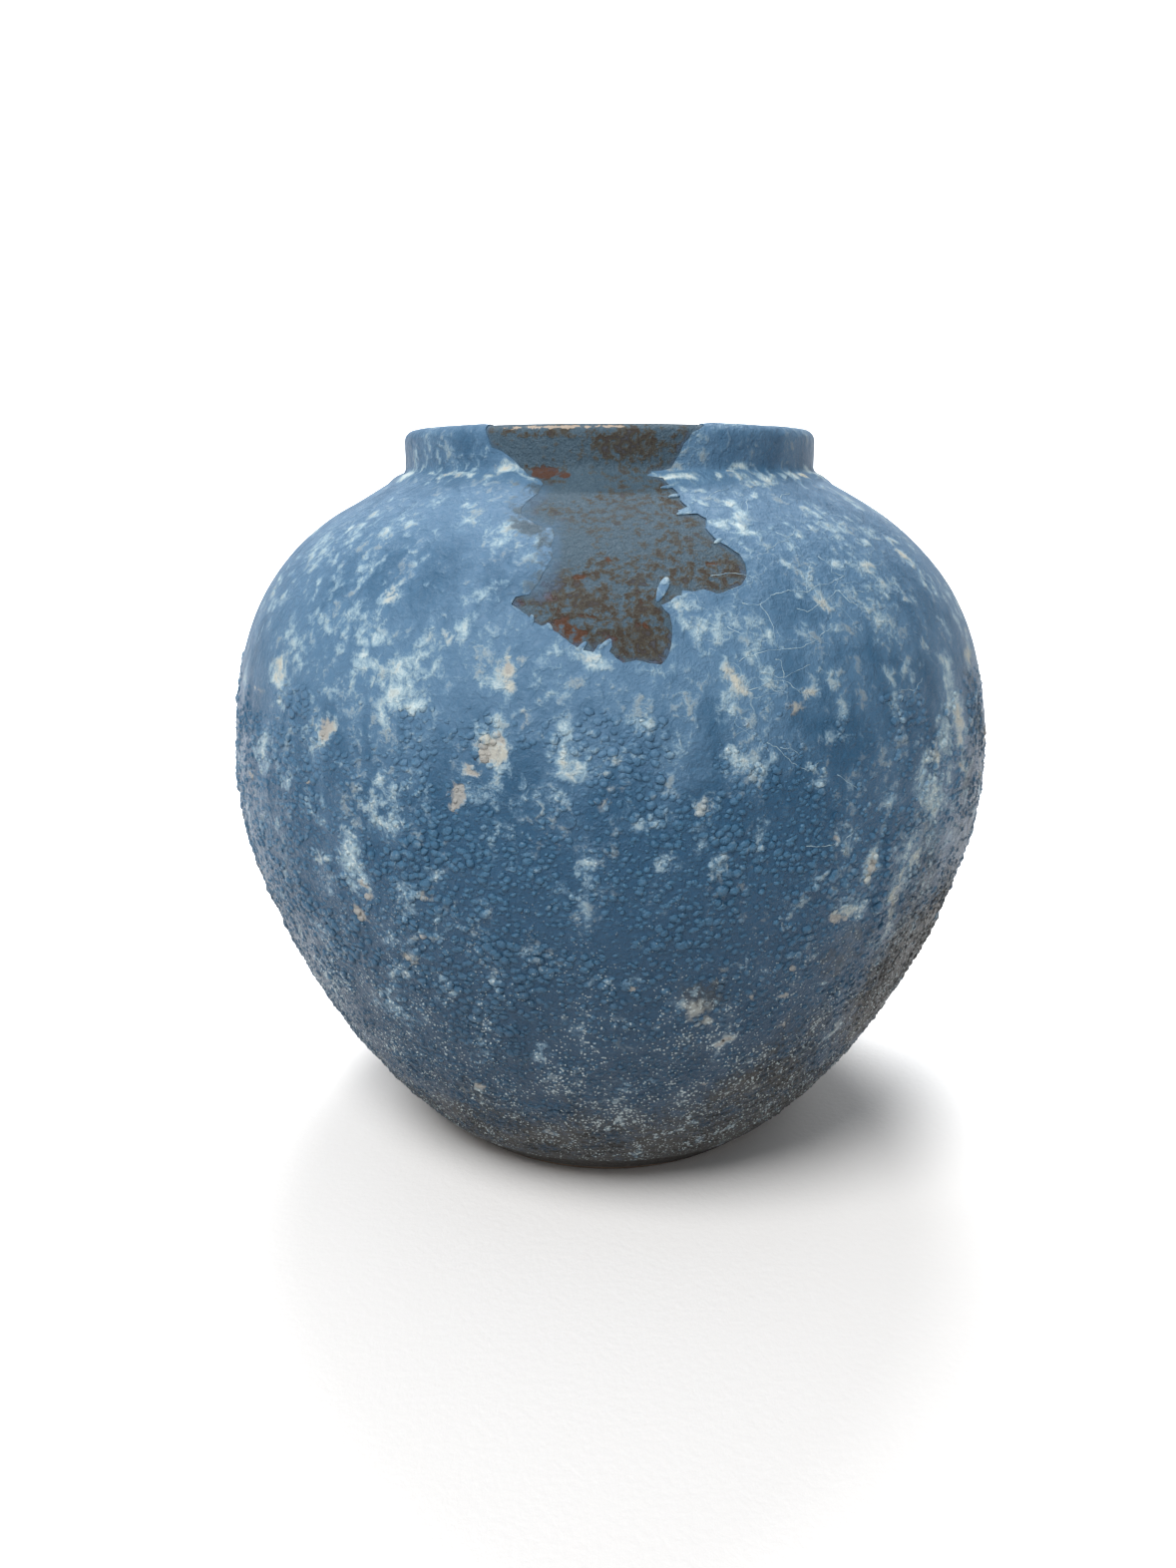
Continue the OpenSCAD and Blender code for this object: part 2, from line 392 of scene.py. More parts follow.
MILK_MARKS = [
    (-57, 317, 3.5, 1.6, -60, 0.9), (-44, 317, 3, 2, 0, 1.0), (-37, 316, 3, 2.4, 0, 1.0),
    (-24, 317, 3.5, 3, 20, 1.0), (-28, 313, 2, 1.5, 0, 0.7), (-20, 315, 2, 1.5, 0, 0.7),
    (12.5, 316.5, 2.5, 1.8, 0, 1.2), (17, 316, 2.5, 2, 0, 1.0), (24.5, 316.5, 1.3, 2, 0, 0.9),
    (31, 316.5, 3, 2, 0, 1.0), (39.5, 316, 1.8, 3, 0, 0.8), (48, 317, 4, 2, 0, 0.6),
    (57, 316, 3.5, 1.2, 65, 1.0), (16, 310, 2, 1.2, 0, 0.7), (32, 310.5, 2.5, 1, 0, 0.8),
    (37, 311.5, 2, 1.2, 0, 0.8), (28, 308, 2, 1.2, 0, 0.6), (-45, 328, 3, 4, 0, 0.5),
    (-37, 325, 3, 5, 0, 0.6), (-57, 328, 3, 4, 0, 0.6), (-50, 330, 3, 3, 0, 0.5),
    (32, 333, 9, 1.5, 0, 0.6), (-33, 322, 1.2, 7, 0, 0.8), (-38, 328, 1, 6, 0, 0.7),
    (-41, 323, 1.4, 6, 10, 0.7), (-49, 322, 1.4, 6, 0, 0.7), (-53, 326, 1.2, 6, 0, 0.7),
    (-62, 322, 1.6, 6, 0, 0.8), (-66, 317, 3, 2, 0, 0.9), (22, 326, 2, 4, 30, 0.4),
    (-33, 317, 2, 2, 20, 0.9), (-51, 317, 2, 1.6, 0, 0.8), (35, 317, 2, 2, 0, 0.8),
    (43, 316, 2, 3, 0, 0.7), (52, 317, 2, 2, 0, 0.7), (62, 318, 3, 2, 0, 0.8),
    (-28, 296, 0.7, 4, -40, 0.8), (-24, 289.5, 1.5, 1, 0, 0.7),
    (-27, 283, 1.6, 2.4, 0, 0.6), (-50, 292, 2, 3, 0, 0.6), (-48, 284, 2.6, 5, -15, 0.7),
    (-42, 290, 2, 3, 0, 0.5), (-41, 279, 1.6, 5, -10, 0.6), (-49, 267, 3, 2, 0, 0.6),
    (-53, 266, 2, 2, 0, 0.4), (-57, 274, 3, 2, 0, 0.6), (-63, 268, 3, 3, 0, 0.7),
    (-44, 256, 1.4, 3.5, 0, 0.8), (-61, 257, 1.5, 3, 0, 0.6), (-58, 248, 3.5, 2.4, 0, 0.8),
    (-44.5, 243.5, 2.4, 3.4, 20, 0.9), (-47, 232, 1.6, 2.4, 0, 0.7), (-50, 223, 4.4, 3.6, 0, 1.1),
    (-47, 213, 1.4, 2.4, 0, 0.7), (-58, 222, 1.2, 3, 0, 0.6), (-63, 216, 3, 3, 0, 0.6),
    (-12, 284, 1.4, 2, 40, 0.8), (-14, 287, 1, 2, 30, 0.8), (-17, 289, 1.4, 1.4, 0, 0.6),
    (-17, 279, 1, 2, -30, 0.6), (-13.5, 274, 1, 2.5, 0, 0.5), (-29, 272, 1.5, 3, 0, 0.6),
    (-32, 256, 2.6, 4.5, 0, 0.9), (-35, 247, 4.4, 5.5, 0, 0.8), (-32, 243, 2.4, 3, 0, 1.0),
    (-30.5, 258, 1, 4, 0, 0.7), (-17, 257, 3, 3.5, -20, 1.0), (-14, 260, 0.6, 2, 0, 0.7),
    (-17.6, 247, 1.2, 4.5, 15, 0.9), (-22, 248, 2, 3.5, 0, 0.8), (-21, 241, 3.8, 4.5, 0, 0.9),
    (-37, 235, 1, 3, 0, 0.8), (-33.5, 234, 1.4, 3, 0, 0.9), (-31, 232, 2.2, 2.8, 0, 1.1),
    (-25, 234, 3.2, 5, 0, 0.9), (-23, 235, 1.5, 3, 0, 1.1), (-26, 227, 2.2, 3, 0, 0.9),
    (-22.5, 223, 1.2, 3.6, 0, 1.0), (-25, 222, 3, 3.4, 0, 1.0), (-21, 229, 0.7, 2.2, 20, 0.9),
    (-29.5, 225.6, 1.4, 1.2, 0, 0.8), (-27.5, 216, 1, 3.6, -15, 0.9), (-38, 220, 1.4, 1.8, 0, 0.7),
    (-36.5, 211, 2.6, 4.5, -25, 1.1), (-41.5, 215, 1.2, 2, 0, 0.6), (-31, 209, 1.6, 2.4, 0, 0.7),
    (-28, 198, 1.8, 2.8, 0, 0.9), (-12, 229, 1.3, 4, 0, 1.0), (-11.3, 235, 1.2, 3, 20, 1.0),
    (-12, 223, 1.2, 2.4, 0, 0.8), (-7, 225, 1.4, 3.6, -15, 0.9), (-7.5, 232, 1.2, 2, 0, 0.7),
    (-9, 219, 1.2, 3, 0, 0.7), (-15.5, 214, 1.4, 3, 0, 0.8), (-13, 210, 3, 4, 0, 1.1),
    (-11.4, 206, 1, 4, 0, 0.8), (-4, 213, 1.5, 3.4, 0, 0.9), (-4.2, 206, 2.3, 4.4, 15, 1.1),
    (-6, 197, 1, 2.8, 0, 0.7), (-15.6, 200, 1.2, 2, 0, 1.0), (-12, 194, 4.6, 6, 0, 0.7),
    (-12, 183, 2.2, 5, 0, 0.8), (-27, 185, 2.6, 4.6, 0, 0.9), (-21, 192, 1.4, 3, 0, 0.7),
    (-3, 238, 2.6, 2.6, 0, 1.2), (-0.6, 235, 2, 3, 0, 0.9), (-7, 240, 1.6, 2, 0, 0.8),
    (-10.4, 238, 1.2, 1.6, 0, 0.7), (-53, 200, 3.4, 4, 0, 0.8), (-50, 193, 3.4, 4, 0, 0.7),
    (-46, 187, 3, 4, 0, 0.7), (-40, 183, 3, 4, 0, 0.6), (-57, 186, 1.2, 3, 0, 0.7),
    (18, 297, 1.6, 1.6, 60, 0.7), (16, 303, 1.5, 2, 60, 0.7), (19, 288, 2.2, 4, 0, 1.0),
    (21, 290.5, 1.2, 1.2, 0, 0.9), (22.7, 288, 1.4, 2, 0, 1.2), (23, 283.5, 2, 2.6, 0, 1.1),
    (24, 294, 1.5, 2.4, 0, 0.7), (19, 278.5, 2, 1.6, 0, 0.9), (20.5, 275, 1, 2.4, 0, 0.7),
    (27, 286, 1.8, 2.4, 0, 0.6), (32.5, 289, 1.2, 2.4, 0, 0.6), (34.7, 275, 0.7, 1.8, 0, 0.7),
    (42, 291, 3, 4, 0, 0.5), (43, 284, 3, 4, 0, 0.6), (47, 291, 1.4, 3, 0, 0.6),
    (40, 277, 3, 3, 0, 0.4), (56.5, 266.5, 2.6, 1.6, 0, 1.0), (59, 273.5, 3, 1.4, 0, 0.8),
    (36, 266, 2.2, 1.8, 0, 0.8), (42, 264, 3.2, 3.4, 0, 0.9), (45, 257, 1.2, 1.8, 0, 0.9),
    (30.5, 252, 1.2, 2.8, 0, 0.9), (42, 252, 3.2, 5, 0, 0.6), (48, 248.5, 1.4, 1.8, 0, 1.1),
    (51, 249, 1.6, 2.4, 0, 0.8), (14.5, 248, 2.2, 3.4, 0, 0.8), (19, 246.5, 1.4, 2.4, 0, 0.9),
    (10, 254, 2, 2, 0, 0.7), (15, 254, 3, 2.4, 0, 0.6), (30, 243, 1.8, 2.4, 0, 0.7),
    (39, 244, 1.2, 2.4, 0, 0.8), (15.5, 231, 2.2, 4, 0, 0.9), (13.5, 224, 1.6, 3, -30, 0.8),
    (36, 235.5, 0.8, 1, 0, 0.8), (28, 226, 2.4, 4, 0, 0.6), (24, 221.5, 1.6, 1.8, 0, 0.9),
    (39, 228, 1, 3.4, 0, 0.9), (38.5, 221, 1.6, 3, 0, 0.9), (39.5, 216, 1, 1.6, 0, 0.7),
    (30, 216, 2, 5, 15, 0.7), (28, 210, 2, 2.4, 0, 0.7), (53, 226, 2.2, 6, 15, 1.0),
    (54, 215, 3, 5.5, 0, 1.0), (50.5, 213, 1.6, 3, 0, 0.8), (54.5, 206, 2.6, 6, 0, 1.0),
    (60, 206, 1.8, 3.4, 0, 1.0), (49, 203, 2.6, 4.4, 20, 1.0), (46.5, 199, 2.2, 4.4, 0, 1.0),
    (50, 209, 1.4, 2, 0, 0.7), (54, 192, 2.2, 3.4, 0, 1.0), (62, 228, 2, 4, 0, 0.7),
    (4.5, 221, 1.2, 1.6, 0, 0.8), (2.5, 209.5, 1.2, 1.8, 0, 0.9), (1, 203, 1.2, 3, 0, 0.6),
    (14.5, 206, 1.4, 2.8, 0, 0.9), (18, 203, 2, 4.6, 0, 0.7), (24.5, 200, 1.2, 3, 0, 0.9),
    (11.3, 194, 1.4, 5, -12, 1.1), (10.8, 184, 1.4, 5, 0, 0.9), (4, 190, 1.4, 3.4, 0, 0.9),
    (7.5, 177.5, 1.8, 2.8, 0, 1.0), (31, 197, 1, 1.4, 0, 0.8), (37, 192, 1.2, 1.8, 0, 0.8),
    (18, 183, 1, 7, 35, 0.8), (-33, 168, 3.2, 9, 0, 1.0), (-40, 167, 2, 2.6, 0, 0.8),
    (-44, 157, 2.4, 2.4, 0, 0.8), (-37.5, 151, 0.8, 3, 15, 0.7), (-21.5, 168, 1.2, 2.6, 0, 0.9),
    (-25, 160, 1.8, 6, 0, 0.8), (-12, 175, 1.6, 3.4, 0, 0.9), (-6, 166, 1.4, 4, 25, 0.9),
    (-3, 161, 2, 2.4, 60, 0.9), (-2, 174, 1.6, 4, 0, 0.9), (7.5, 171, 1, 4, 0, 0.6),
    (-23.5, 146, 3, 2.6, 0, 0.9), (-27, 140, 2.6, 5, 0, 0.9), (-29, 126, 2.6, 6, 0, 0.9),
    (-22, 125, 2, 6, 0, 0.7), (-31, 116, 3, 5, 0, 0.7), (-32, 106, 4, 6, 0, 0.8),
    (4, 148, 1, 1.6, 0, 0.7), (8, 144, 1.4, 1, 0, 0.9), (2, 134, 2, 3, 0, 0.8),
    (16.5, 137, 2.2, 4, 0, 0.7), (12, 126, 4, 8, 0, 0.7), (19.5, 123, 1, 4, 15, 0.8),
    (31, 151, 2.6, 6, 0, 1.0), (34.6, 166, 1, 7, 0, 1.1), (41, 150, 2.4, 18, 0, 0.8),
    (43, 168, 3, 10, 0, 0.8), (45, 186, 3, 8, 0, 0.9), (48, 178, 4, 12, 0, 0.6),
    (17, 106, 2, 4, 0, 0.8), (14, 97, 3, 4, 0, 0.6), (-22, 76, 2, 4, 0, 0.8),
    (-26, 70, 2, 4, 0, 0.7), (-18, 95, 3, 6, 0, 0.5), (5, 84, 4, 5, 0, 0.5),
    (-9, 103, 2, 6, 0, 0.7), (28, 67, 2.4, 6, 0, 0.5), (24, 118, 1, 4, 0, 0.6),
    (30, 122, 2, 5, 0, 0.6), (-12, 48, 1.4, 2.4, 0, 0.7), (38, 95, 3, 6, 0, 0.6),
]
CREAM_MARKS = [
    (-44, 317, 2, 1.2, 0, 1.0), (-37, 315, 2, 1.2, 0, 0.9), (-24, 318, 2, 1.4, 0, 0.8),
    (29, 316.5, 1, 1.2, 0, 1.0), (57, 316, 3, 1, 65, 1.0), (-50, 224, 3, 2.4, 0, 0.8),
    (-55, 217, 2.4, 2.4, 0, 0.7), (-32, 256, 2, 3, 0, 0.6), (-21, 241, 3, 3.4, 0, 0.8),
    (-22, 248, 1.4, 2.4, 0, 0.7), (-36.5, 211, 2, 3, -25, 1.1), (-13, 210, 2.6, 3, 0, 1.1),
    (-11.6, 230, 1, 4, 0, 0.9), (-11.3, 235, 1, 2.4, 20, 1.0), (-9, 218, 1, 3, 0, 0.8),
    (-7, 225, 0.8, 2.4, 0, 0.8), (-4.2, 206, 1.4, 3, 0, 0.7), (-15.6, 200, 1, 1.6, 0, 1.1),
    (-3, 237.5, 1.8, 1.6, 0, 0.8), (-10.4, 238, 1, 1.4, 0, 0.8), (30.5, 252, 0.9, 2.4, 0, 0.8),
    (42, 264, 2.4, 2.4, 0, 0.6), (56, 266.5, 2, 1.2, 0, 0.9), (48, 248.5, 1, 1.2, 0, 0.8),
    (15.5, 231, 1.8, 3.4, 0, 1.0), (16.4, 228, 1, 1.6, 0, 0.9), (24, 221.5, 1.2, 1.4, 0, 0.8),
    (22, 216, 1.4, 2.4, 0, 0.8), (11.3, 194, 1, 4, 0, 0.9), (54, 206, 2, 5, 0, 0.9),
    (60, 206, 1.4, 3, 0, 1.0), (47, 200, 2, 4, 0, 0.8), (54, 192, 2, 3, 0, 1.0),
    (62, 229, 2, 3, 0, 0.8), (1, 202, 1, 3, 0, 0.7), (-0.5, 198, 1, 2, 0, 0.8),
    (-31.3, 164, 1.2, 2, 0, 1.0), (-22.5, 160, 1, 2.4, 0, 0.9), (-24, 145, 2.4, 1.6, 0, 1.0),
    (-27, 136, 1.8, 5, 0, 0.9), (-29, 126, 2, 4, 0, 0.8), (12, 122, 2, 6, 0, 1.0),
    (31, 150, 2.2, 5, 0, 1.0), (34.6, 164, 0.8, 6, 0, 1.0), (41, 150, 1.4, 14, 0, 0.9),
    (16, 136, 2, 4, 0, 0.6), (-22, 76, 1.6, 3, 0, 1.0), (-26, 70, 1.6, 4, 0, 0.9),
    (17, 106, 2, 4, 0, 0.9), (44, 172, 2, 10, 0, 0.7), (28, 67, 2, 5, 0, 0.8),
    (38, 95, 2, 5, 0, 0.8), (-40, 167, 1.4, 1.6, 0, 0.7), (-44, 157, 2, 1.8, 0, 0.7),
]
CHIP_MARKS = [
    (-36.9, 211, 1.7, 2.8, -25, 1.1), (-11.8, 212, 1, 1.8, 0, 0.9), (-13.5, 209, 1.8, 1.8, 0, 0.9),
    (-15.8, 200.4, 0.9, 1.3, 0, 1.1), (-16.7, 192, 0.9, 3.4, 35, 1.2), (-11.4, 235, 0.7, 2, 25, 0.9),
    (-39.8, 191, 0.8, 1.6, 20, 0.9), (-56.5, 185, 0.9, 2.4, 0, 1.0), (-31.2, 164.5, 0.9, 1.7, 0, 1.1),
    (-31, 159.5, 0.8, 1.8, 0, 1.1), (-33, 148, 0.9, 5.5, -15, 1.2), (-23.5, 145.5, 1.4, 1.1, 0, 1.0),
    (-22.3, 160, 0.7, 1.8, 0, 0.9), (-27.4, 135, 0.7, 3, 0, 0.9), (8.2, 144.3, 0.8, 0.9, 0, 1.1),
    (2.4, 132, 1.5, 1.1, 0, 1.1), (19.3, 121, 0.7, 4.5, 20, 1.1), (24.9, 132, 0.6, 2.2, 15, 1.0),
    (17, 105, 1.2, 2, 0, 1.0), (30.3, 148.4, 1.9, 3.2, 20, 1.1), (28.8, 178, 0.7, 0.9, 0, 1.0),
    (34.8, 164, 0.6, 5, 0, 0.9), (15, 79.5, 0.8, 1.8, 0, 1.0), (-22, 76, 1, 2, 0, 0.9),
    (40.8, 150, 0.7, 3, 0, 0.9), (24, 118, 0.6, 1.6, 0, 0.9), (-16, 38, 1, 1.6, 0, 0.9),
    (-12, 48, 1, 1.8, 0, 0.9), (54, 192, 1.4, 2, 0, 0.9), (26.5, 109, 0.8, 1.8, 0, 0.8),
]
PIT_MARKS = [
    (-35.7, 210.6, 0.5, 0.9, 0, 1.0), (-15.4, 205, 0.7, 0.9, 0, 0.9), (-15, 198.6, 0.6, 0.9, 0, 1.0),
    (16.8, 105, 0.6, 0.9, 0, 1.0), (33.8, 142, 0.5, 0.8, 0, 0.9), (-43.2, 208.4, 0.4, 0.6, 0, 0.8),
    (-17.8, 267, 0.4, 0.9, 0, 0.7), (-14.4, 179, 0.3, 0.5, 0, 0.8),
]
DEEP_MARKS = [
    (-10, 142, 10, 26, 0, 0.6), (4, 150, 10, 22, 0, 0.6), (3, 115, 3, 20, 0, 1.0),
    (-13, 106, 3, 20, 0, 1.1), (1, 88, 2, 8, 0, 0.9), (-22, 104, 2.4, 14, 0, 0.7),
    (22, 165, 10, 22, 0, 0.9), (20, 190, 10, 14, 0, 0.6), (-26, 208, 6, 7, 0, 0.7),
    (-22, 211, 4, 8, 0, 0.6), (33, 200, 7, 16, 0, 0.8), (42, 238, 7, 10, 0, 0.6),
    (27, 324, 9, 7, 0, 0.5), (45, 323, 9, 8, 0, 0.6), (56, 324, 7, 6, 0, 0.5),
    (37.4, 166, 0.9, 28, 0, 1.3), (-38, 264, 10, 10, 0, 0.8), (-14, 266, 4, 14, 0, 0.9),
    (-9, 232, 3, 5, 0, 0.5),
    (8, 222, 9, 9, 0, 0.8), (10, 246, 5, 8, 0, 0.6), (44, 232, 7, 12, 0, 0.8),
    (-12, 150, 12, 22, 0, 0.3), (20, 140, 10, 20, 0, 0.4), (-44, 205, 4, 8, 0, 0.7),
    (-30, 190, 5, 8, 0, 0.7), (0, 195, 3, 6, 0, 0.7), (-22, 300, 8, 8, 0, 0.6),
    (-56, 235, 5, 10, 0, 0.5),
    (-24, 265, 4, 9, 0, 0.5), (3, 182, 4, 8, 0, 0.6), (-20, 178, 4, 8, 0, 0.6),
    (-8, 176, 3, 8, 0, 0.5), (40, 208, 6, 14, 0, 0.6), (-35, 140, 3, 22, 0, 0.5),
]
THIN_MARKS = [
    (12, 128, 4, 8, 0, 0.75), (12, 104, 6, 14, 0, 0.4), (46, 150, 8, 40, 0, 0.6),
    (56, 110, 18, 44, 0, 1.0), (62, 190, 9, 50, 0, 0.55), (32, 92, 10, 24, 0, 0.6),
    (28, 66, 16, 26, 0, 0.8), (-24, 72, 7, 9, 0, 0.6), (48, 205, 4, 10, 0, 0.4),
    (22, 215, 1.6, 2.4, 0, 0.6), (15, 232, 1.6, 3, 0, 0.45), (14, 97, 3, 4, 0, 0.6),
    (-13, 83, 3, 4, 0, 0.5), (-12, 50, 10, 14, 0, 0.6), (34, 130, 7, 18, 0, 0.5),
]
CRAZE_MARKS = [
    (30, 262, 20, 34, 0, 1.0), (24, 240, 12, 20, 0, 1.0), (20, 215, 10, 14, 0, 0.8),
    (42, 275, 14, 30, 0, 0.6), (20, 176, 10, 14, 0, 0.7), (26, 298, 12, 16, 0, 0.7),
]
RUST_MARKS = [
    (-15.2, 317, 3.2, 2.6, 0, 1.2), (-10, 315.8, 1.4, 1.8, 0, 1.0), (-19.5, 318, 1.6, 1.2, -40, 0.6),
    (-7.8, 258, 0.7, 1.6, 0, 0.9), (-6.5, 253.6, 2, 1, 0, 0.9), (-6, 247, 1.8, 2.2, -30, 1.0),
    (-4, 243.6, 1.6, 2.6, -30, 1.0), (-4, 264.4, 1.1, 0.9, 0, 0.9), (4.5, 248, 0.8, 1.3, 0, 1.0),
    (4.4, 256, 0.8, 1.2, 0, 0.7), (0.2, 243.4, 0.9, 0.8, 0, 1.0), (1.7, 237, 0.9, 1.2, 0, 0.9),
    (6, 235.6, 0.8, 0.8, 0, 0.7), (15.3, 268.6, 1.2, 1, 0, 0.8), (-12, 254, 0.9, 1.2, 0, 0.8),
    (0, 270.5, 0.4, 1, 0, 0.8), (6.1, 288, 0.4, 0.9, 0, 0.8), (-1, 277, 0.5, 0.6, 0, 0.7),
    (5, 315, 0.4, 0.8, 0, 0.6), (8.3, 314.6, 0.9, 0.8, 0, 0.7), (-6, 316.4, 0.5, 0.8, 0, 0.6),
    (-8.6, 262, 0.5, 0.8, 0, 0.7), (1.3, 251, 0.9, 0.8, 0, 0.7), (-2.5, 249.5, 1.6, 0.9, 0, 0.7),
]
BROWN_MARKS = [
    (3.5, 246, 6, 12, 0, 1.2), (-3, 258, 7, 10, 0, 0.9), (-5, 247, 5, 6, 0, 1.1),
    (15.5, 265, 5.5, 7, 0, 1.0), (10, 266, 4, 7, 0, 0.7), (2, 268, 6, 6, 0, 0.5),
    (-14, 297, 4, 7, 0, 0.5), (4, 327, 9, 6, 0, 0.9),
    (-14, 331, 14, 2, 0, 1.0), (10, 318, 5, 6, 0, 0.5), (12.5, 300, 3, 12, 0, 0.8),
    (-3, 303, 6, 3, 0, 0.4), (14, 290, 3, 5, 0, 0.5), (-12, 255, 1.6, 2, 0, 0.9),
    (-14, 312, 4, 3, 0, 0.6), (2, 311, 1.6, 2, 0, 0.5), (9, 275, 4, 12, 0, 0.4),
    (-21, 318, 3, 1.8, -40, 0.8), (14, 328, 6, 6, 0, 0.6), (-11, 284, 4, 4, 0, 0.3),
]
FLAKE_MARKS = [
    (-14, 332.6, 13, 0.8, 0, 1.2), (-21, 333, 5, 1, 0, 0.8), (0, 332.8, 4, 0.6, 0, 1.0),
]

# Edge of the bare patch, as degrees round and mm up the wall, clockwise from the lip's left side.
PATCH_EDGE = [
    (-33, 345), (-32, 332), (-30, 326), (-27, 324.6), (-24, 322), (-22, 319.5), (-20, 317),
    (-18.5, 314.6), (-16, 313), (-14.5, 310), (-14.6, 304), (-16, 299), (-16.4, 295), (-15.8, 291),
    (-14, 288.4), (-12.4, 286), (-10.8, 284.4), (-9.2, 284.2), (-8.6, 280.5), (-8.8, 276),
    (-8.2, 271), (-9, 266), (-9.6, 261), (-10.6, 257), (-12.4, 256), (-12.8, 253.4), (-11.2, 251),
    (-10.2, 249.4), (-9.4, 247.6), (-8.4, 246.6), (-7.6, 247.4), (-6.8, 245.2), (-5.6, 243.2),
    (-4.6, 241.2), (-3.8, 240), (-2.6, 241.8), (-3, 239.2), (-1.8, 238.6), (-1.2, 240.8),
    (0.4, 242.6), (0.5, 240.4), (0.2, 238.8), (1, 236.8), (1.8, 235.4), (3.4, 236.2), (5, 235.2),
    (6.4, 234.8), (7.2, 237), (7.8, 241), (8.1, 247), (7.9, 250.4), (6.9, 253.6), (8.4, 255),
    (9.6, 255.8), (10, 258.6), (11.4, 258), (13, 258.8), (14.8, 257), (16.6, 258.4), (18.6, 260),
    (19.8, 263), (20.3, 268), (20, 272), (18.6, 275.4), (17, 279), (16.2, 284), (17.2, 289),
    (16, 292), (12.8, 291.8), (12.6, 293.8), (14.8, 296), (14, 300), (14.4, 303), (14, 306),
    (13, 310), (12.4, 314), (10.2, 315), (10, 317.8), (12.6, 318.2), (15, 319), (16.4, 322),
    (18.4, 327), (20.6, 330.6), (24, 333), (25, 345),
]

# Hairline cracks, each from end to end as degrees round and mm up the wall
CRACKS = [
    [(18, 253.8), (20.4, 253.2), (21.5, 254.6), (22.6, 256.4), (25.4, 257.6), (28.4, 256.6),
     (29.6, 257.9), (31, 259.2), (32.6, 259), (34.2, 260.3), (36.4, 261.6)],
    [(20.4, 253.2), (21.4, 249.4), (21.6, 245.6), (21.3, 240.6), (21.6, 238.6)],
    [(15.2, 246.3), (16.6, 244.4), (17.6, 242.4), (18.8, 241.2), (20.6, 241.5), (21.6, 242.2)],
    [(16, 235), (17, 236.6), (18.3, 237.2), (20, 238.4), (24.6, 238.2), (26, 239.4), (27.4, 240.4),
     (28.8, 242.8), (30.4, 243.8)],
    [(18.3, 237.2), (18.6, 234.2), (19.9, 232.2), (20.8, 229.8), (21.6, 229.6), (22.8, 230.6),
     (24, 231.5), (25.6, 233.2)],
    [(20.9, 235.1), (21.7, 235.2), (21.9, 232), (21.6, 229.6)],
    [(16.6, 226.2), (18, 227), (19.6, 228.6), (21.4, 229), (22.2, 228), (23, 226), (23.8, 224.4)],
    [(18.4, 229.8), (19.6, 228.6), (19.9, 226), (21.2, 225.2), (21.7, 227.2), (21.4, 229)],
    [(18.6, 210.6), (20, 209), (21.3, 205.4), (22.7, 202.5), (24, 201.2), (25.2, 203.4)],
    [(20.2, 209), (21.8, 208.4), (22.8, 206.2)],
    [(31, 253.4), (32.4, 255), (33.8, 256.6), (35.4, 255.4), (37, 256), (38.8, 255.2)],
    [(34, 256.4), (34.8, 252.6), (36.2, 250.6), (37.2, 247.4)],
    [(28.6, 282), (30, 278.8), (31.8, 280.6), (33.6, 284.6)],
    [(23.8, 278), (25, 274.6), (26.4, 275), (28, 277.2), (30, 277.6)],
    [(25.8, 251.4), (27.4, 249.6), (28.6, 251.4), (30, 252.4)],
    [(27, 268), (28, 265), (29.6, 262.4), (28.6, 259.6), (28.4, 256.6)],
    [(33.6, 270), (35, 266), (34.4, 263), (36.4, 261.6)], [(28, 199), (29.6, 196), (31, 193.6)],
    [(24, 178), (27, 176.6), (29.4, 177.6), (31, 180.4)], [(40, 222), (43, 221), (45, 224)],
    [(19, 300), (21, 303.6), (23.4, 306), (26, 307)], [(25, 290), (27, 296), (28.4, 301)],
    [(14.6, 264), (17, 265), (19.6, 264.4), (21, 262)],
    [(36, 300), (39, 303.4), (42, 304)],
]

# Tongues of glaze that run over the patch: degrees, mm up, half width, half length, lean
TONGUES = [
    (7.3, 259.4, 1.5, 4.8, 25), (13.9, 293.6, 1.2, 3.4, 70), (11.8, 316.6, 1.7, 4.2, 88),
    (-0.4, 241.2, 0.8, 2.6, 50), (-3.2, 240.6, 0.7, 2, 45), (-9.7, 248.6, 0.7, 2, -10),
    (-7.3, 246.4, 0.7, 1.8, -35), (9, 255.6, 1, 2.4, 60), (12.6, 309, 0.9, 2.6, 80),
    (13.2, 303.5, 0.9, 2.4, 75), (17.4, 278.4, 0.8, 2, 60),
]
# Blisters in the glaze: degrees, mm up, radius
BLISTERS = [(-4.3, 189, 2.2), (-39, 183, 1.2), (28, 186, 1.3), (-9, 150, 1.3)]
# Drips and a ridge that stand up from the glaze, as marks
RUNS = [
    (37.4, 166, 0.9, 26, 0, 1.5), (3, 108, 2.2, 16, 0, 0.8), (-13.4, 100, 2, 16, 0, 0.8),
    (10, 199, 7, 0.9, 12, 1),
]
# Rough places of the bare slip, as marks
ROUGH_SLIP = [(0, 248, 12, 14, 0, 1), (16, 265, 5, 8, 0, 0.7)]
# Bands of beads: name, from and to in mm up, share of the bead spacing, and paleness of the specks,
# which are partly painted glints
BEAD_BANDS = [
    ("shoulder_beads", 168, 222, 0.9, 0.3),
    ("belly_beads", 110, 168, 1.0, 0.45),
    ("flank_beads", 68, 110, 0.75, 0.9),
    ("foot_beads", 24, 68, 0.72, 1.0),
]
BARE_SLIP_DEPTH = GLAZE_DEPTH - 0.35  # how far the bare slip lies below the glaze's outside, in mm
CREASE_UP = 315.6  # where the collar rises from the shoulder, in mm up the wall
FRONT = (-64, 64)
ROUND_THE_BACK = (64, 296)


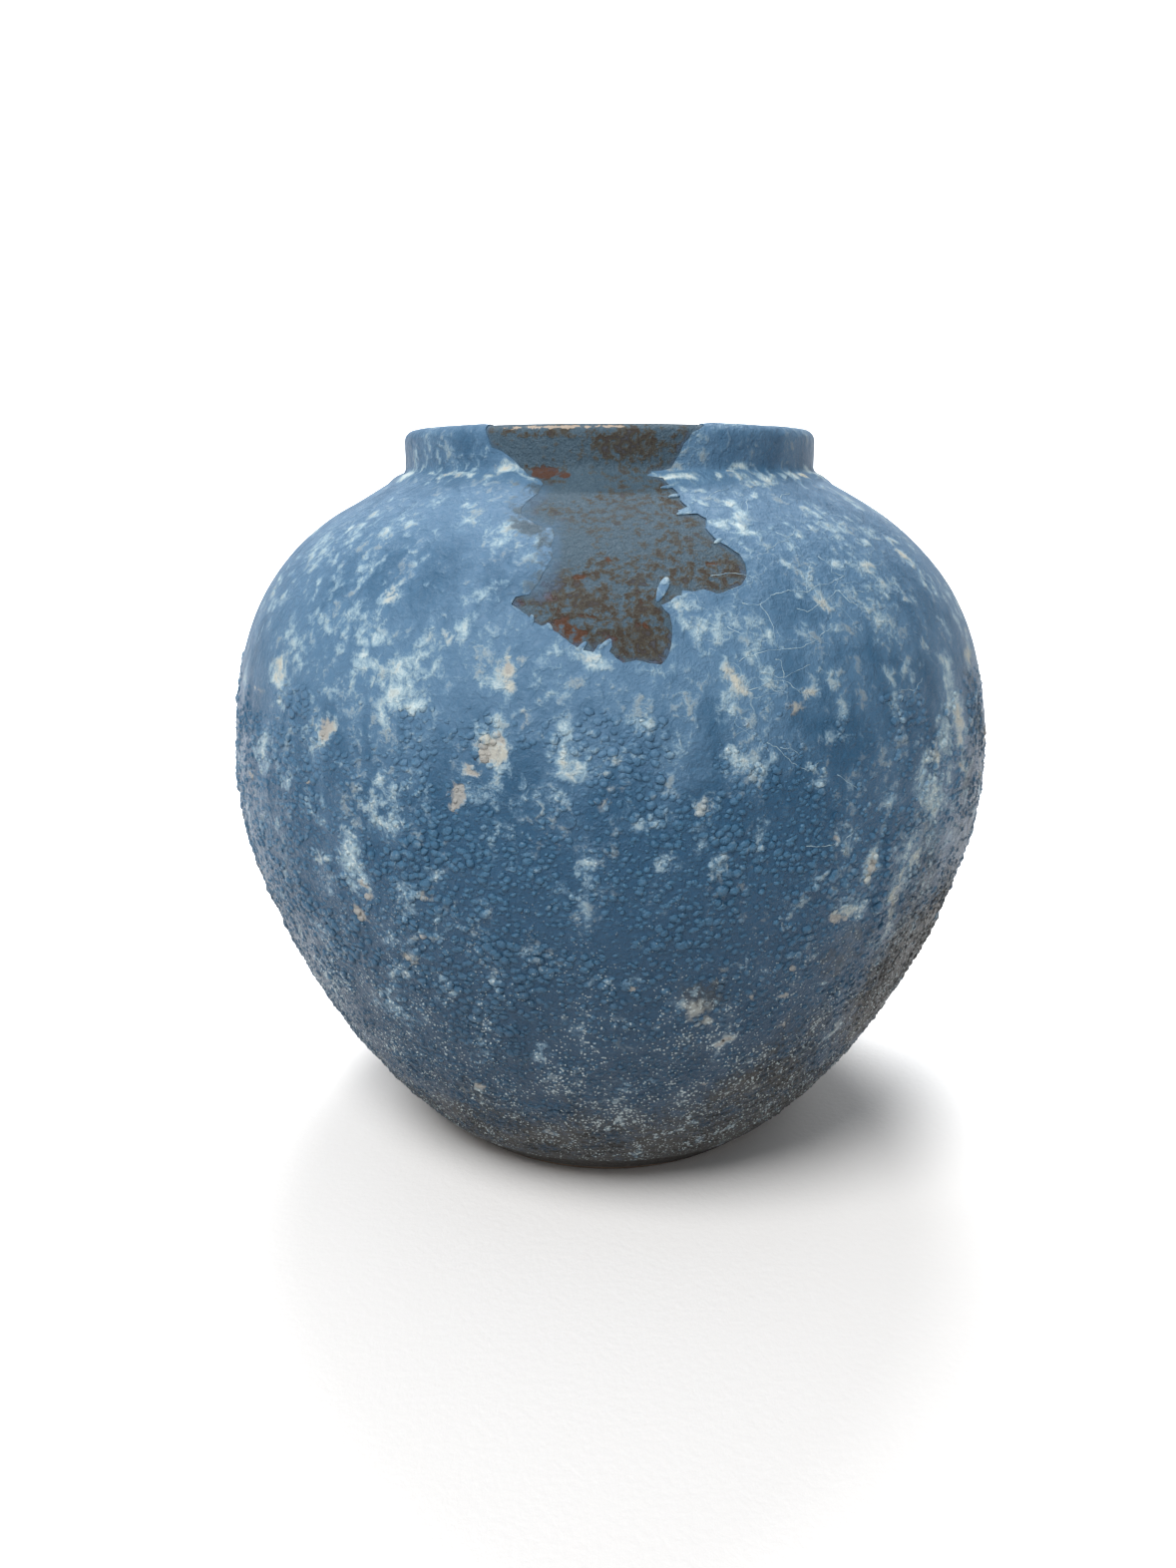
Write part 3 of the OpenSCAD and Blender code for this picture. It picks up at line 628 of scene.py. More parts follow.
def marks_field(marks, surface, round_deg, up):
    """Strength of the strongest mark at each place, soft at its edge."""
    order = np.argsort(up)
    sorted_up, sorted_deg = up[order], round_deg[order]
    scale = surface.radius(sorted_up) * math.pi / 180
    field = np.zeros(len(up))
    for mark_deg, mark_up, half_deg, half_up, lean, strength in marks:
        half_wide = half_deg * surface.radius(mark_up) * math.pi / 180
        span = 1.6 * max(half_up, half_wide if lean else 0)
        low, high = np.searchsorted(sorted_up, (mark_up - span, mark_up + span))
        across = (sorted_deg[low:high] - mark_deg + 180) % 360 - 180
        x, y = across * scale[low:high], sorted_up[low:high] - mark_up
        a = math.radians(lean)
        wide = (x * math.cos(a) - y * math.sin(a)) / half_wide
        tall = (x * math.sin(a) + y * math.cos(a)) / half_up
        value = strength * (1 - smooth(np.hypot(wide, tall), 0.45, 1.55))
        field[low:high] = np.maximum(field[low:high], value)
    result = np.empty(len(up))
    result[order] = field
    return result


def inside_patch(round_deg, up):
    """Whether each place lies within the bare patch."""
    inside = np.zeros(len(up), dtype=bool)
    for (a_deg, a_up), (b_deg, b_up) in zip(PATCH_EDGE, PATCH_EDGE[1:] + PATCH_EDGE[:1]):
        if a_up != b_up:
            crossing = (a_up > up) != (b_up > up)
            inside ^= crossing & (round_deg < a_deg + (up - a_up) * (b_deg - a_deg) / (b_up - a_up))
    return inside


def patch_edge(surface, round_deg, up):
    """Distance in mm to the edge of the bare patch, and how far that edge is a faded one."""
    scale = surface.radius(up) * math.pi / 180
    distance = np.full(len(up), 1e9)
    near = (np.abs(round_deg) < 50) & (up > 215)
    x, y, scale = (round_deg * scale)[near], up[near], scale[near]
    found = np.full(near.sum(), 1e9)
    for (a_deg, a_up), (b_deg, b_up) in zip(PATCH_EDGE, PATCH_EDGE[1:] + PATCH_EDGE[:1]):
        ax, bx = a_deg * scale, b_deg * scale
        run_x, run_y = bx - ax, b_up - a_up
        t = np.clip(((x - ax) * run_x + (y - a_up) * run_y) / (run_x ** 2 + run_y ** 2), 0, 1)
        found = np.minimum(found, np.hypot(x - ax - t * run_x, y - a_up - t * run_y))
    distance[near] = found
    faded = (1 - smooth(round_deg, -9, -3)) * smooth(up, 254, 260) * (1 - smooth(up, 308, 314))
    return distance, faded


def shaken(surface, round_deg, up):
    """The same places shifted a little, so that marks get uneven outlines."""
    co = surface.point(round_deg, up)
    across = 3.2 * ripple(co, 11, 21) + 1.8 * ripple(co, 4.5, 22)
    along = 4.0 * ripple(co, 11, 23) + 2.2 * ripple(co, 4.5, 24)
    return round_deg + np.degrees(across / surface.radius(up)), up + along


def scattered_marks(rng, count, low, high, half_deg, half_up, strength, side=ROUND_THE_BACK):
    """Marks put down by chance between two heights, each measure within its own range."""
    marks = []
    for _ in range(count):
        marks.append((
            rng.uniform(*side), rng.uniform(low, high), rng.uniform(*half_deg),
            rng.uniform(*half_up), rng.uniform(-25, 25), rng.uniform(*strength)))
    return marks


def all_marks():
    """Every kind of mark, right round the pot: the back carries the same kinds as the front."""
    rng = random.Random(41)
    return {
        "milk": MILK_MARKS
        + scattered_marks(rng, 130, 120, 300, (0.7, 2.6), (1.4, 4.5), (0.35, 0.7), FRONT)
        + scattered_marks(rng, 170, 225, 312, (0.5, 1.1), (1.5, 3.4), (0.6, 1), FRONT)
        + scattered_marks(rng, 260, 90, 300, (0.8, 3.4), (1.6, 6), (0.6, 1.1))
        + scattered_marks(rng, 50, 312, 319, (1.4, 3.6), (1.2, 2.6), (0.7, 1.1))
        + scattered_marks(rng, 60, 60, 200, (1.4, 4), (4, 12), (0.5, 0.9)),
        "cream": CREAM_MARKS
        + scattered_marks(rng, 110, 60, 265, (0.8, 2.4), (1.4, 5), (0.6, 1.1)),
        "chip": CHIP_MARKS
        + scattered_marks(rng, 60, 36, 215, (0.6, 1.5), (1, 4), (0.8, 1.15)),
        "pit": PIT_MARKS + scattered_marks(rng, 14, 90, 215, (0.4, 0.6), (0.6, 0.9), (0.8, 1)),
        "deep": DEEP_MARKS
        + scattered_marks(rng, 34, 100, 250, (4, 10), (9, 24), (0.5, 1))
        + scattered_marks(rng, 16, 80, 150, (1.4, 3), (12, 24), (0.8, 1.1))
        + scattered_marks(rng, 8, 322, 327, (6, 12), (5, 8), (0.5, 0.9)),
        "thin": THIN_MARKS
        + scattered_marks(rng, 16, 40, 180, (5, 14), (10, 34), (0.4, 0.8)),
        "craze": CRAZE_MARKS
        + scattered_marks(rng, 10, 190, 300, (9, 16), (16, 30), (0.7, 1)),
        "rust": RUST_MARKS,
        "brown": BROWN_MARKS,
        "flake": FLAKE_MARKS,
    }


GLAZE_MARKS = ("milk", "cream", "chip", "pit", "deep", "thin", "craze")
GLAZE_FIELDS = (*GLAZE_MARKS, "bead", "speck_glint", "fade", "crown")
SLIP_MARKS = ("rust", "brown", "flake")
SLIP_FIELDS = (*SLIP_MARKS, "veil")


def keep_field(piece, name, values):
    """Stores a value for each corner of a piece, for its finish to read."""
    layer = piece.data.attributes.new(name, "FLOAT", "POINT")
    layer.data.foreach_set("value", np.asarray(values, dtype=np.float32))


def bead_strength(up):
    """How beaded the glaze is at a way up the wall."""
    return (1 - smooth(up, 170, 240)) * (0.35 + 0.65 * smooth(up, 10, 60))


def glaze_fields(surface, round_deg, up):
    """The fields that the blue glaze reads, at each place."""
    edge, left = patch_edge(surface, round_deg, up)
    round_deg, up = shaken(surface, round_deg, up)
    marks = all_marks()
    fields = {n: marks_field(marks[n], surface, round_deg, up) for n in GLAZE_MARKS}
    # The glaze thins towards the foot, and from higher up on the right.
    to_the_right = 0.25 * np.cos(np.radians(round_deg - 60))
    low = (0.85 + to_the_right) * (1 - smooth(up, 22, 112 + 60 * to_the_right))
    fields["thin"] = np.maximum(fields["thin"], low)
    # It pools pale in the crease under the collar.
    crease = ridge(up, CREASE_UP + 0.4, 3.5)
    fields["milk"] *= 1 + 0.6 * crease
    fields["cream"] *= 1 + 0.4 * crease
    fields["bead"] = bead_strength(up)
    fields["speck_glint"] = np.zeros(len(up))
    # The coat has no crown, so it takes the painted shade between the beads
    fields["crown"] = np.zeros(len(up))
    fields["fade"] = 0.8 * left * (1 - smooth(edge, 0, 9))
    return fields


def paint(piece, fields):
    """Stores several fields on a piece."""
    for name, values in fields.items():
        keep_field(piece, name, values)


def paint_glaze(piece, surface):
    """Stores the glaze's fields on a piece that already lies on the wall."""
    round_deg, up, _ = surface.locate(read(piece))
    paint(piece, glaze_fields(surface, round_deg, up))


def relief(co, round_deg, up, surface):
    """Rise of the glaze's surface over the even coat, in mm."""
    beaded = bead_strength(up)
    broad = 0.5 * ripple(co, 45, 1) + 0.25 * ripple(co, 16, 2)
    lift = broad + beaded * (0.35 * ripple(co, 8, 3, 1.3) + 0.3 * ripple(co, 4.5, 4, 1.3))
    marks = all_marks()
    pooled = marks_field(marks["milk"], surface, round_deg, up) * ((up > 311) & (up < 320))
    lift += 0.6 * ridge(up, CREASE_UP, 2.6)
    lift += 0.4 * pooled - 0.35 * marks_field(marks["chip"], surface, round_deg, up)
    lift += 0.45 * marks_field(RUNS, surface, round_deg, up)
    return np.clip(lift, -0.55, 1.4)


# --- Shader kit ------------------------------------------------------------------------------------

class Sum:
    """A socket in an expression: plus, minus and times add the Math nodes."""

    def __init__(self, kit, socket):
        self.kit = kit
        self.socket = socket

    def _math(self, operation, first, second):
        return self.kit.node("ShaderNodeMath", {"operation": operation}, {0: first, 1: second})

    def __add__(self, other):
        return self._math("ADD", self, other)

    __radd__ = __add__

    def __mul__(self, other):
        return self._math("MULTIPLY", self, other)

    __rmul__ = __mul__

    def __sub__(self, other):
        return self._math("SUBTRACT", self, other)

    def __rsub__(self, other):
        return self._math("SUBTRACT", other, self)


class Kit:
    """One material's node tree."""

    def __init__(self, name):
        self.material = bpy.data.materials.new(name)
        self.material.use_nodes = True
        self.tree = self.material.node_tree
        self.tree.nodes.clear()
        self.place = self.node("ShaderNodeTexCoord", {}, {}, "Object")

    def node(self, kind, settings, inputs, output=0):
        """Adds a node, sets it, fills or links its sockets, and gives one output."""
        made = self.tree.nodes.new(kind)
        for key, value in settings.items():
            setattr(made, key, value)
        for key, value in inputs.items():
            if isinstance(value, Sum):
                self.tree.links.new(value.socket, made.inputs[key])
            else:
                made.inputs[key].default_value = value
        return Sum(self, made.outputs[output])

    def field(self, name):
        return self.node("ShaderNodeAttribute", {"attribute_name": name}, {}, "Fac")

    def noise(self, scale, detail=4.0, roughness=0.55, distortion=0.0, place=None):
        return self.node("ShaderNodeTexNoise", {}, {
            "Vector": place or self.place, "Scale": scale, "Detail": detail,
            "Roughness": roughness, "Distortion": distortion})

    def uneven(self, scale, detail=4.0, roughness=0.6, distortion=0.0, place=None):
        """Noise spread out to run from -0.5 to 0.5."""
        return self.step(self.noise(scale, detail, roughness, distortion, place), 0.33, 0.67) - 0.5

    def cells(self, feature, scale, place=None, output="Distance"):
        return self.node("ShaderNodeTexVoronoi", {"feature": feature}, {
            "Vector": place or self.place, "Scale": scale}, output)

    def stretched(self, scale):
        return self.node("ShaderNodeMapping", {}, {"Vector": self.place, "Scale": scale})

    def step(self, value, low, high):
        """Smooth step from 0 at low to 1 at high."""
        return self.node("ShaderNodeMapRange", {"interpolation_type": "SMOOTHSTEP"},
                         {0: value, 1: low, 2: high})

    def mix(self, factor, first, second):
        """The first colour, with the second one laid over it by the factor."""
        inputs = {0: factor}
        for key, value in ((6, first), (7, second)):
            inputs[key] = value if isinstance(value, Sum) else (*value, 1)
        return self.node("ShaderNodeMix", {"data_type": "RGBA"}, inputs, 2)

    def up(self):
        """Height above the floor in metres."""
        return self.node("ShaderNodeSeparateXYZ", {}, {0: self.place}, "Z")

    def bump(self, height, distance):
        return self.node("ShaderNodeBump", {}, {
            "Strength": 1.0, "Distance": distance, "Height": height})

    def finish(self, base, roughness, normal, **constants):
        """Ends the tree with the shader and gives the material."""
        shader = self.tree.nodes.new("ShaderNodeBsdfPrincipled")
        for key, value in {"Base Color": base, "Roughness": roughness, "Normal": normal}.items():
            if isinstance(value, Sum):
                self.tree.links.new(value.socket, shader.inputs[key])
            else:
                shader.inputs[key].default_value = value
        for key, value in constants.items():
            shader.inputs[key.replace("_", " ")].default_value = value
        out = self.tree.nodes.new("ShaderNodeOutputMaterial")
        self.tree.links.new(shader.outputs[0], out.inputs[0])
        return self.material


def blue_glaze(kit, colours):
    """Blue, with milky and cream blotches, beaded low down and grey where it is thin."""
    milk, cream, chip, pit, deep, thin, craze, bead, speck_glint, fade, crown = (
        kit.field(n) for n in GLAZE_FIELDS)
    running = kit.stretched((1, 1, 0.6))
    flat = kit.stretched((1, 1, 1.5))
    cloud = kit.uneven(26, 4, 0.6, 0.2, running)
    blot = kit.uneven(85, 5, 0.6, 0.5, running)
    fleck = kit.uneven(300, 5, 0.62, 0.3)
    grain = kit.uneven(1300, 3)
    lumps = kit.cells("F1", 380, flat)
    tone = kit.cells("F1", 380, flat, "Color")
    dots = kit.cells("F1", 900)
    dot_tone = kit.cells("F1", 900, output="Color")
    domes = (1 - kit.step(lumps, 0.12, 0.62)) * kit.step(tone, 0.25, 0.8)
    small_domes = (1 - kit.step(dots, 0.1, 0.55)) * kit.step(dot_tone, 0.3, 0.7)

    # Blue, deeper where it lies thick; painted shade darkens it towards the foot and between the beads
    even = 1 - bead
    low = kit.step(kit.up(), 0.17, 0.06)
    base = kit.mix(kit.step(even * 0.6 + cloud * 0.6 + blot * 0.5 - deep * 0.4, -0.3, 0.8),
                   colours.deep, colours.blue)
    # Darker towards the foot: painted shade of the underside, partly the glaze's own darker tone there
    base = kit.mix(low * 0.7, base, srgb(34, 52, 68))
    # Painted shade between the beads, partly the glaze pooling deep round them
    base = kit.mix((1 - crown) * bead * 0.3, base, srgb(24, 54, 80))
    # Painted highlight on the bead tops and dome tops, partly the glaze lying thin and pale there
    base = kit.mix((crown * 0.35 + domes * 0.25) * bead * (1 - low * 0.5), base, srgb(76, 118, 146))
    # Grey where it is thin
    ashy = kit.step(thin * 1.2 + blot * 0.4 + fleck * 0.4 + grain * 0.3 - 0.35, 0.0, 0.8)
    base = kit.mix(ashy * 0.92, base, colours.ash)
    # Milky blotches with cream cores, a little paler on the bead tops as painted highlight and fewer
    # towards the foot under its painted shade
    milk_value = milk * 0.9 + blot * 0.75 + fleck * 0.8 + grain * 0.25 + cloud * 0.35 \
        + even * 0.1 + crown * 0.1 - 0.36 - deep * 0.15 - low * 0.15
    base = kit.mix(kit.step(milk_value, -0.2, 0.6) * 0.7, base, colours.sky)
    milky = kit.step(milk_value, 0.1, 1.1)
    base = kit.mix(milky * 0.85, base, colours.milk)
    base = kit.mix(kit.step(milk_value, 0.75, 1.5) * 0.7, base, srgb(190, 200, 198))
    creamy = kit.step(cream + blot * 0.7 + fleck * 0.9 - 0.3 - low * 0.1, 0.0, 1.2)
    base = kit.mix(creamy * (0.8 - low * 0.3), base, colours.cream)
    # Pale specks on the beads, partly painted glints on the tops of small beads
    sprinkled = kit.step(small_domes * 1.2 + fleck * 0.5 + blot * 0.7 + cloud * 0.3 - deep * 0.5,
                         0.45, 0.85)
    pale = sprinkled * (low * 0.8 + milky * bead * 0.85) \
        + kit.step(speck_glint * crown + milky * 0.3 + blot * 0.3 - deep * 0.5, 0.5, 0.9) * 0.7
    base = kit.mix(pale, base, srgb(184, 196, 198))
    # Bare flakes, pinholes, and the slip that shows through at the patch's faded edge
    flake = kit.step(chip + fleck * 0.6 + blot * 0.4, 0.45, 0.95)
    base = kit.mix(flake * 0.9, base, colours.chip)
    hole = kit.step(pit + fleck * 0.3, 0.5, 0.7)
    base = kit.mix(hole, base, srgb(56, 46, 38))
    base = kit.mix(kit.step(fade + fleck * 0.6 + blot * 0.5, 0.3, 0.9), base, colours.slip)

    # Fine crazing
    bent = kit.node("ShaderNodeVectorMath", {"operation": "MULTIPLY_ADD"}, {
        0: kit.node("ShaderNodeTexNoise", {}, {
            "Vector": kit.place, "Scale": 60, "Detail": 3}, "Color"),
        1: (0.02, 0.02, 0.02), 2: kit.place})
    crack = 1 - kit.step(kit.cells("DISTANCE_TO_EDGE", 95, bent), 0.003, 0.014)
    shown = kit.step(craze + cloud * 0.8 + blot * 0.7, 0.7, 1.1)
    base = kit.mix(crack * shown * 0.4, base, colours.milk)

    height = (domes * 0.2 + small_domes * 0.12) * (bead * 0.95 + 0.05) + fleck * 0.2 \
        + grain * 0.02 + milky * 0.06 - flake * 0.2 - hole * 0.4
    rough = 0.56 - bead * 0.12 + fleck * 0.08 + ashy * 0.15 + flake * 0.15
    return kit.finish(base, rough, kit.bump(height, 0.0017), Specular_IOR_Level=0.28)


def iron_slip(kit, colours):
    """Blue-grey, breaking to brown and to rust, with bare flakes on the lip."""
    rust, brown, flake, veil = (kit.field(n) for n in SLIP_FIELDS)
    cloud = kit.uneven(75, 4)
    fleck = kit.uneven(380, 5, 0.65)
    grain = kit.uneven(1500, 3)
    low = 1 - kit.step(kit.up(), 0.018, 0.03)
    base = kit.mix(kit.step(grain + fleck * 0.6, -0.4, 0.5), colours.slip, srgb(68, 88, 102))
    mottled = kit.step(cloud * 0.7 + fleck + brown * 0.5, 0.0, 0.7)
    base = kit.mix(mottled * 0.75, base, srgb(66, 66, 58))
    browned = kit.step(brown * 0.7 + cloud * 0.7 + fleck * 1.2 - 0.15, 0.0, 0.9)
    base = kit.mix(browned * 0.8, base, colours.brown)
    dark = kit.step(fleck + brown * 0.3 + cloud * 0.3, 0.45, 0.7)
    base = kit.mix(dark * 0.7, base, srgb(50, 40, 34))
    rusted = kit.step(rust + cloud * 0.3 + fleck * 0.7, 0.4, 0.85)
    base = kit.mix(rusted * 0.9, base, colours.rust)
    film = kit.step(veil + cloud * 0.5 + fleck * 0.6, 0.2, 1.0)
    base = kit.mix(film * 0.65, base, srgb(66, 95, 120))
    chipped = kit.step(flake + fleck * 0.9, 0.5, 0.8)
    base = kit.mix(chipped, base, srgb(160, 147, 134))
    # Darker towards the foot: partly painted shade near the floor, partly the slip's own darker tone
    base = kit.mix(low, base, srgb(50, 48, 46))
    height = fleck * 0.6 + grain * 0.15 - rusted * 0.4 - dark * 0.4 - chipped * 0.3
    return kit.finish(base, 0.62 + fleck * 0.15, kit.bump(height, 0.0006), Specular_IOR_Level=0.2)


def liner_glaze(kit, colours):
    """Grey-blue with small dark specks."""
    cloud = kit.noise(30, 4)
    fleck = kit.noise(300, 4)
    base = kit.mix(kit.step(cloud + (fleck - 0.5) * 0.4, 0.35, 0.65),
                   colours.liner, srgb(104, 120, 130))
    base = kit.mix(kit.step(fleck, 0.64, 0.72) * 0.5, base, srgb(70, 62, 54))
    return kit.finish(base, 0.4 + (fleck - 0.5) * 0.2, kit.bump(fleck, 0.0004))


def bare_clay(kit, colours):
    """Gritty clay with fine turning rings."""
    cloud = kit.noise(40, 4)
    grit = kit.noise(900, 4, 0.7)
    base = kit.mix(kit.step(cloud, 0.35, 0.65), colours.clay, srgb(96, 80, 66))
    base = kit.mix(kit.step(grit, 0.6, 0.7) * 0.6, base, srgb(60, 50, 44))
    radial = kit.node("ShaderNodeVectorMath", {"operation": "LENGTH"}, {
        0: kit.stretched((1, 1, 0))}, "Value")
    rings = kit.node("ShaderNodeMath", {"operation": "SINE"}, {0: radial * 2600})
    return kit.finish(base, 0.85, kit.bump(grit * 0.5 + rings * 0.2, 0.0005))


def crack_edge(kit, colours):
    """Pale edge of a hairline crack."""
    base = kit.mix(kit.step(kit.noise(300), 0.35, 0.65), colours.milk, colours.sky)
    return kit.finish(base, 0.6, kit.bump(kit.noise(900), 0.0001))


FINISHES = {
    "mottled blue glaze": blue_glaze,
    "iron slip": iron_slip,
    "liner glaze": liner_glaze,
    "bare clay": bare_clay,
    "crack edge": crack_edge,
}


def material(name):
    """The material of a finish, made the first time it is asked for."""
    found = bpy.data.materials.get(name)
    return found or FINISHES[name](Kit(name), bpy.context.scene.vase_colours)


def dress(piece, finish):
    """Gives a piece one material."""
    piece.data.materials.clear()
    piece.data.materials.append(finish)


# --- Modelling ------------------------------------------------------------------------------------

def hand_over(piece, node, finish, sharp_from=50):
    """Gives a finished piece its material and its place in the frame."""
    dress(piece, material(finish))
    pick(piece)
    if sharp_from is None:
        bpy.ops.object.shade_smooth()
    else:
        bpy.ops.object.shade_smooth_by_angle(angle=math.radians(sharp_from))
    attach(piece, "root")
    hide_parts(node)


def pot():
    """The form and its surface."""
    shape = Form(bpy.context.scene.vase_form)
    return shape, Surface(shape)


TIGHT_SPACING = 1.4  # mm between the points of the hollow and the lip
HIDDEN_SPACING = 12  # mm between points where nothing shows


def coat(name, shape, show_depth, back_depth, foot, spacing, segments):
    """A closed coat over the outside and the lip, fine where it shows and coarse behind."""
    outside = shape.wall(show_depth, foot) + shape.neck(show_depth)
    behind = shape.wall(back_depth, foot) + shape.neck(back_depth)
    centre, radius, first, _ = outside[0]
    start = centre + polar(radius, first)
    line = Outline(name, *start)
    for arc in outside:
        tight = arc[1] < 10
        line.curve(arc, min(spacing, TIGHT_SPACING) if tight else spacing)
    line.run_to((shape.bore_r + show_depth, shape.lip_end), 3)
    line.run_to((shape.bore_r + back_depth, shape.lip_end))
    for arc in reversed(behind):
        line.curve(arc, HIDDEN_SPACING, back=True)
    return line.lathe(segments)


def patch_cutter(surface):
    """A wedge towards the axis with the patch's outline."""
    bpy.ops.object.select_all(action="DESELECT")
    bpy.ops.mesh.primitive_circle_add(vertices=len(PATCH_EDGE), fill_type="NGON")
    cutter = bpy.context.object
    places = []
    for round_deg, up in PATCH_EDGE:
        over = max(0, up - surface.rim)
        place = surface.point(round_deg, min(up, surface.rim))
        places.append((place[0], place[1], place[2] + over * MM))
    inner_share, inner_to_outer = 0.8, 1.6
    co = np.array(places)
    co[:, :2] *= inner_share
    write(cutter, co)
    bpy.ops.object.mode_set(mode="EDIT")
    bpy.ops.mesh.select_all(action="SELECT")
    bpy.ops.mesh.extrude_region_move()
    bpy.ops.transform.resize(value=(inner_to_outer, inner_to_outer, 1), center_override=(0, 0, 0))
    finish_mesh()
    return cutter


def cut(piece, cutter):
    """Takes the cutter's shape out of a piece, and the cutter away."""
    modifier = piece.modifiers.new("cut", "BOOLEAN")
    modifier.operation = "DIFFERENCE"
    modifier.solver = "EXACT"
    modifier.object = cutter
    pick(piece)
    bpy.ops.object.modifier_apply(modifier=modifier.name)
    bpy.data.objects.remove(cutter)


class VASE_OT_blue_coat(bpy.types.Operator):
    """Turn the blue coat, raise its lumps and drips, and cut the bare patch"""
    bl_idname = "vase.blue_coat"
    bl_label = "Blue coat"

    def execute(self, context):
        shape, surface = pot()
        piece = coat("blue_coat", shape, show_depth=0, back_depth=GLAZE_DEPTH + 0.7,
                     foot=GLAZE_STOP, spacing=2.05, segments=448)
        co = read(piece)
        round_deg, up, depth = surface.locate(co)
        edge, faded = patch_edge(surface, round_deg, up)
        near = 1 - smooth(edge, 0, 3.5 + 3 * faded)
        lift = relief(co, round_deg, up, surface) * (1 - near) - near * (0.3 + 0.28 * faded)
        lift = np.where(depth < 0.3, lift, 0)
        co += surface.outward(round_deg, up) * (lift * MM)[:, None]
        write(piece, co)
        cut(piece, patch_cutter(surface))
        paint_glaze(piece, surface)
        hand_over(piece, "blue_glaze", "mottled blue glaze")
        return {"FINISHED"}


def one_bead():
    """A low dome with a flat underside, one unit in radius and height: its corners and faces."""
    waist = 0.68
    bpy.ops.object.select_all(action="DESELECT")
    bpy.ops.mesh.primitive_circle_add(vertices=7, radius=1.0, fill_type="NGON")
    piece = bpy.context.object
    bpy.ops.object.mode_set(mode="EDIT")
    bpy.ops.mesh.select_all(action="SELECT")
    bpy.ops.mesh.extrude_region_move(TRANSFORM_OT_translate={"value": (0, 0, waist)})
    bpy.ops.transform.resize(value=(waist, waist, 1), center_override=(0, 0, waist))
    bpy.ops.mesh.poke(offset=1 - waist)
    finish_mesh()
    co = read(piece)
    faces = [tuple(p.vertices) for p in piece.data.polygons]
    bpy.data.objects.remove(piece)
    return co, faces


def bead_places(surface, rng, low, high, pitch):
    """Degrees, way up, places in metres and crowding of the beads of a band.

    They stand in staggered rows, shaken about and thinned out, and none stands on a blister.
    """
    rows = []
    for up in np.arange(low, high, pitch * 0.8):
        count = round(math.tau * surface.radius(up) / (pitch * 1.15))
        start = rng.uniform(0, 360)
        round_deg = start + (np.arange(count) + rng.uniform(-0.42, 0.42, count)) * 360 / count
        rows.append(np.stack([(round_deg + 180) % 360 - 180,
                              up + rng.uniform(-0.45, 0.45, count) * pitch], axis=1))
    round_deg, up = np.concatenate(rows).T
    ground = surface.point(round_deg, up)
    crowd = ripple(ground, 12, 11) + 0.5 * ripple(ground, 5, 12)
    blisters = [(deg, at, math.degrees(size / surface.radius(at)), size, 0, 1)
                for deg, at, size in BLISTERS]
    keep = crowd + rng.uniform(-0.5, 0.5, len(up)) + bead_strength(up) > 0.35
    keep &= marks_field(blisters, surface, round_deg, up) < 0.1
    return round_deg[keep], up[keep], ground[keep], crowd[keep]


def bead_field(name, surface, rng, low, high, pitch, speck_glints):
    """A piece of many beads over a band of the wall."""
    shape, faces = one_bead()
    round_deg, up, ground, crowd = bead_places(surface, rng, low, high, pitch)
    count, corners = len(up), len(shape)
    # Half width, half height and rise of each bead in mm, larger where they crowd
    wide = pitch * (0.3 + 0.4 * rng.random(count)) * (1 + 0.5 * np.clip(crowd, -0.4, 1))
    tall = wide * rng.uniform(0.5, 0.9, count)
    rise = tall * rng.uniform(0.36, 0.56, count)
    right, top, out = directions(surface, round_deg, up, -rng.uniform(-35, 35, count))
    sunk = 0.35  # mm that each bead stands in the coat
    crowns = shape[:, 2] / shape[:, 2].max()  # 0 at a bead's foot, 1 on its top
    base = ground + out * ((relief(ground, round_deg, up, surface) - sunk) * MM)[:, None]
    uneven = rng.uniform(0.8, 1.2, (count, corners, 1))
    flat = shape[None, :, :2] * uneven
    co = (base[:, None, :]
          + flat[:, :, :1] * (right * wide[:, None] * MM)[:, None, :]
          + flat[:, :, 1:] * (top * tall[:, None] * MM)[:, None, :]
          + shape[None, :, 2:] * (out * (rise + sunk)[:, None] * MM)[:, None, :]).reshape(-1, 3)
    all_faces = [tuple(i + n * corners for i in face) for n in range(count) for face in faces]
    mesh = bpy.data.meshes.new(name)
    mesh.from_pydata(co, [], all_faces)
    piece = bpy.data.objects.new(name, mesh)
    bpy.context.collection.objects.link(piece)
    fields = glaze_fields(surface, round_deg, up)
    # Pale specks on the small beads, partly painted glints on their tops
    fields["speck_glint"] = rng.random(count) * speck_glints * (wide < 0.5 * pitch)
    painted = {kind: np.repeat(values, corners) for kind, values in fields.items()}
    # The crown places the painted highlight on the bead tops and the painted shade round their feet
    painted["crown"] = np.tile(crowns, count)
    paint(piece, painted)
    hand_over(piece, "blue_glaze", "mottled blue glaze", sharp_from=None)


class VASE_OT_beads(bpy.types.Operator):
    """Scatter the glaze beads from the foot up to the shoulder"""
    bl_idname = "vase.beads"
    bl_label = "Glaze beads"

    def execute(self, context):
        _, surface = pot()
        rng = np.random.default_rng(17)
        pitch = context.scene.vase_form.bead_pitch
        for name, low, high, share, speck_glints in BEAD_BANDS:
            bead_field(name, surface, rng, low, high, pitch * share, speck_glints)
        return {"FINISHED"}


def lay_on(piece, surface, round_deg, up, lean, lift):
    """Lays a piece modelled flat at the origin onto the wall."""
    right, top, out = directions(surface, round_deg, up, lean)
    co = read(piece)
    base = surface.point(round_deg, up, np.float64(lift))
    write(piece, base + co[:, :1] * right + co[:, 1:2] * top + co[:, 2:] * out)


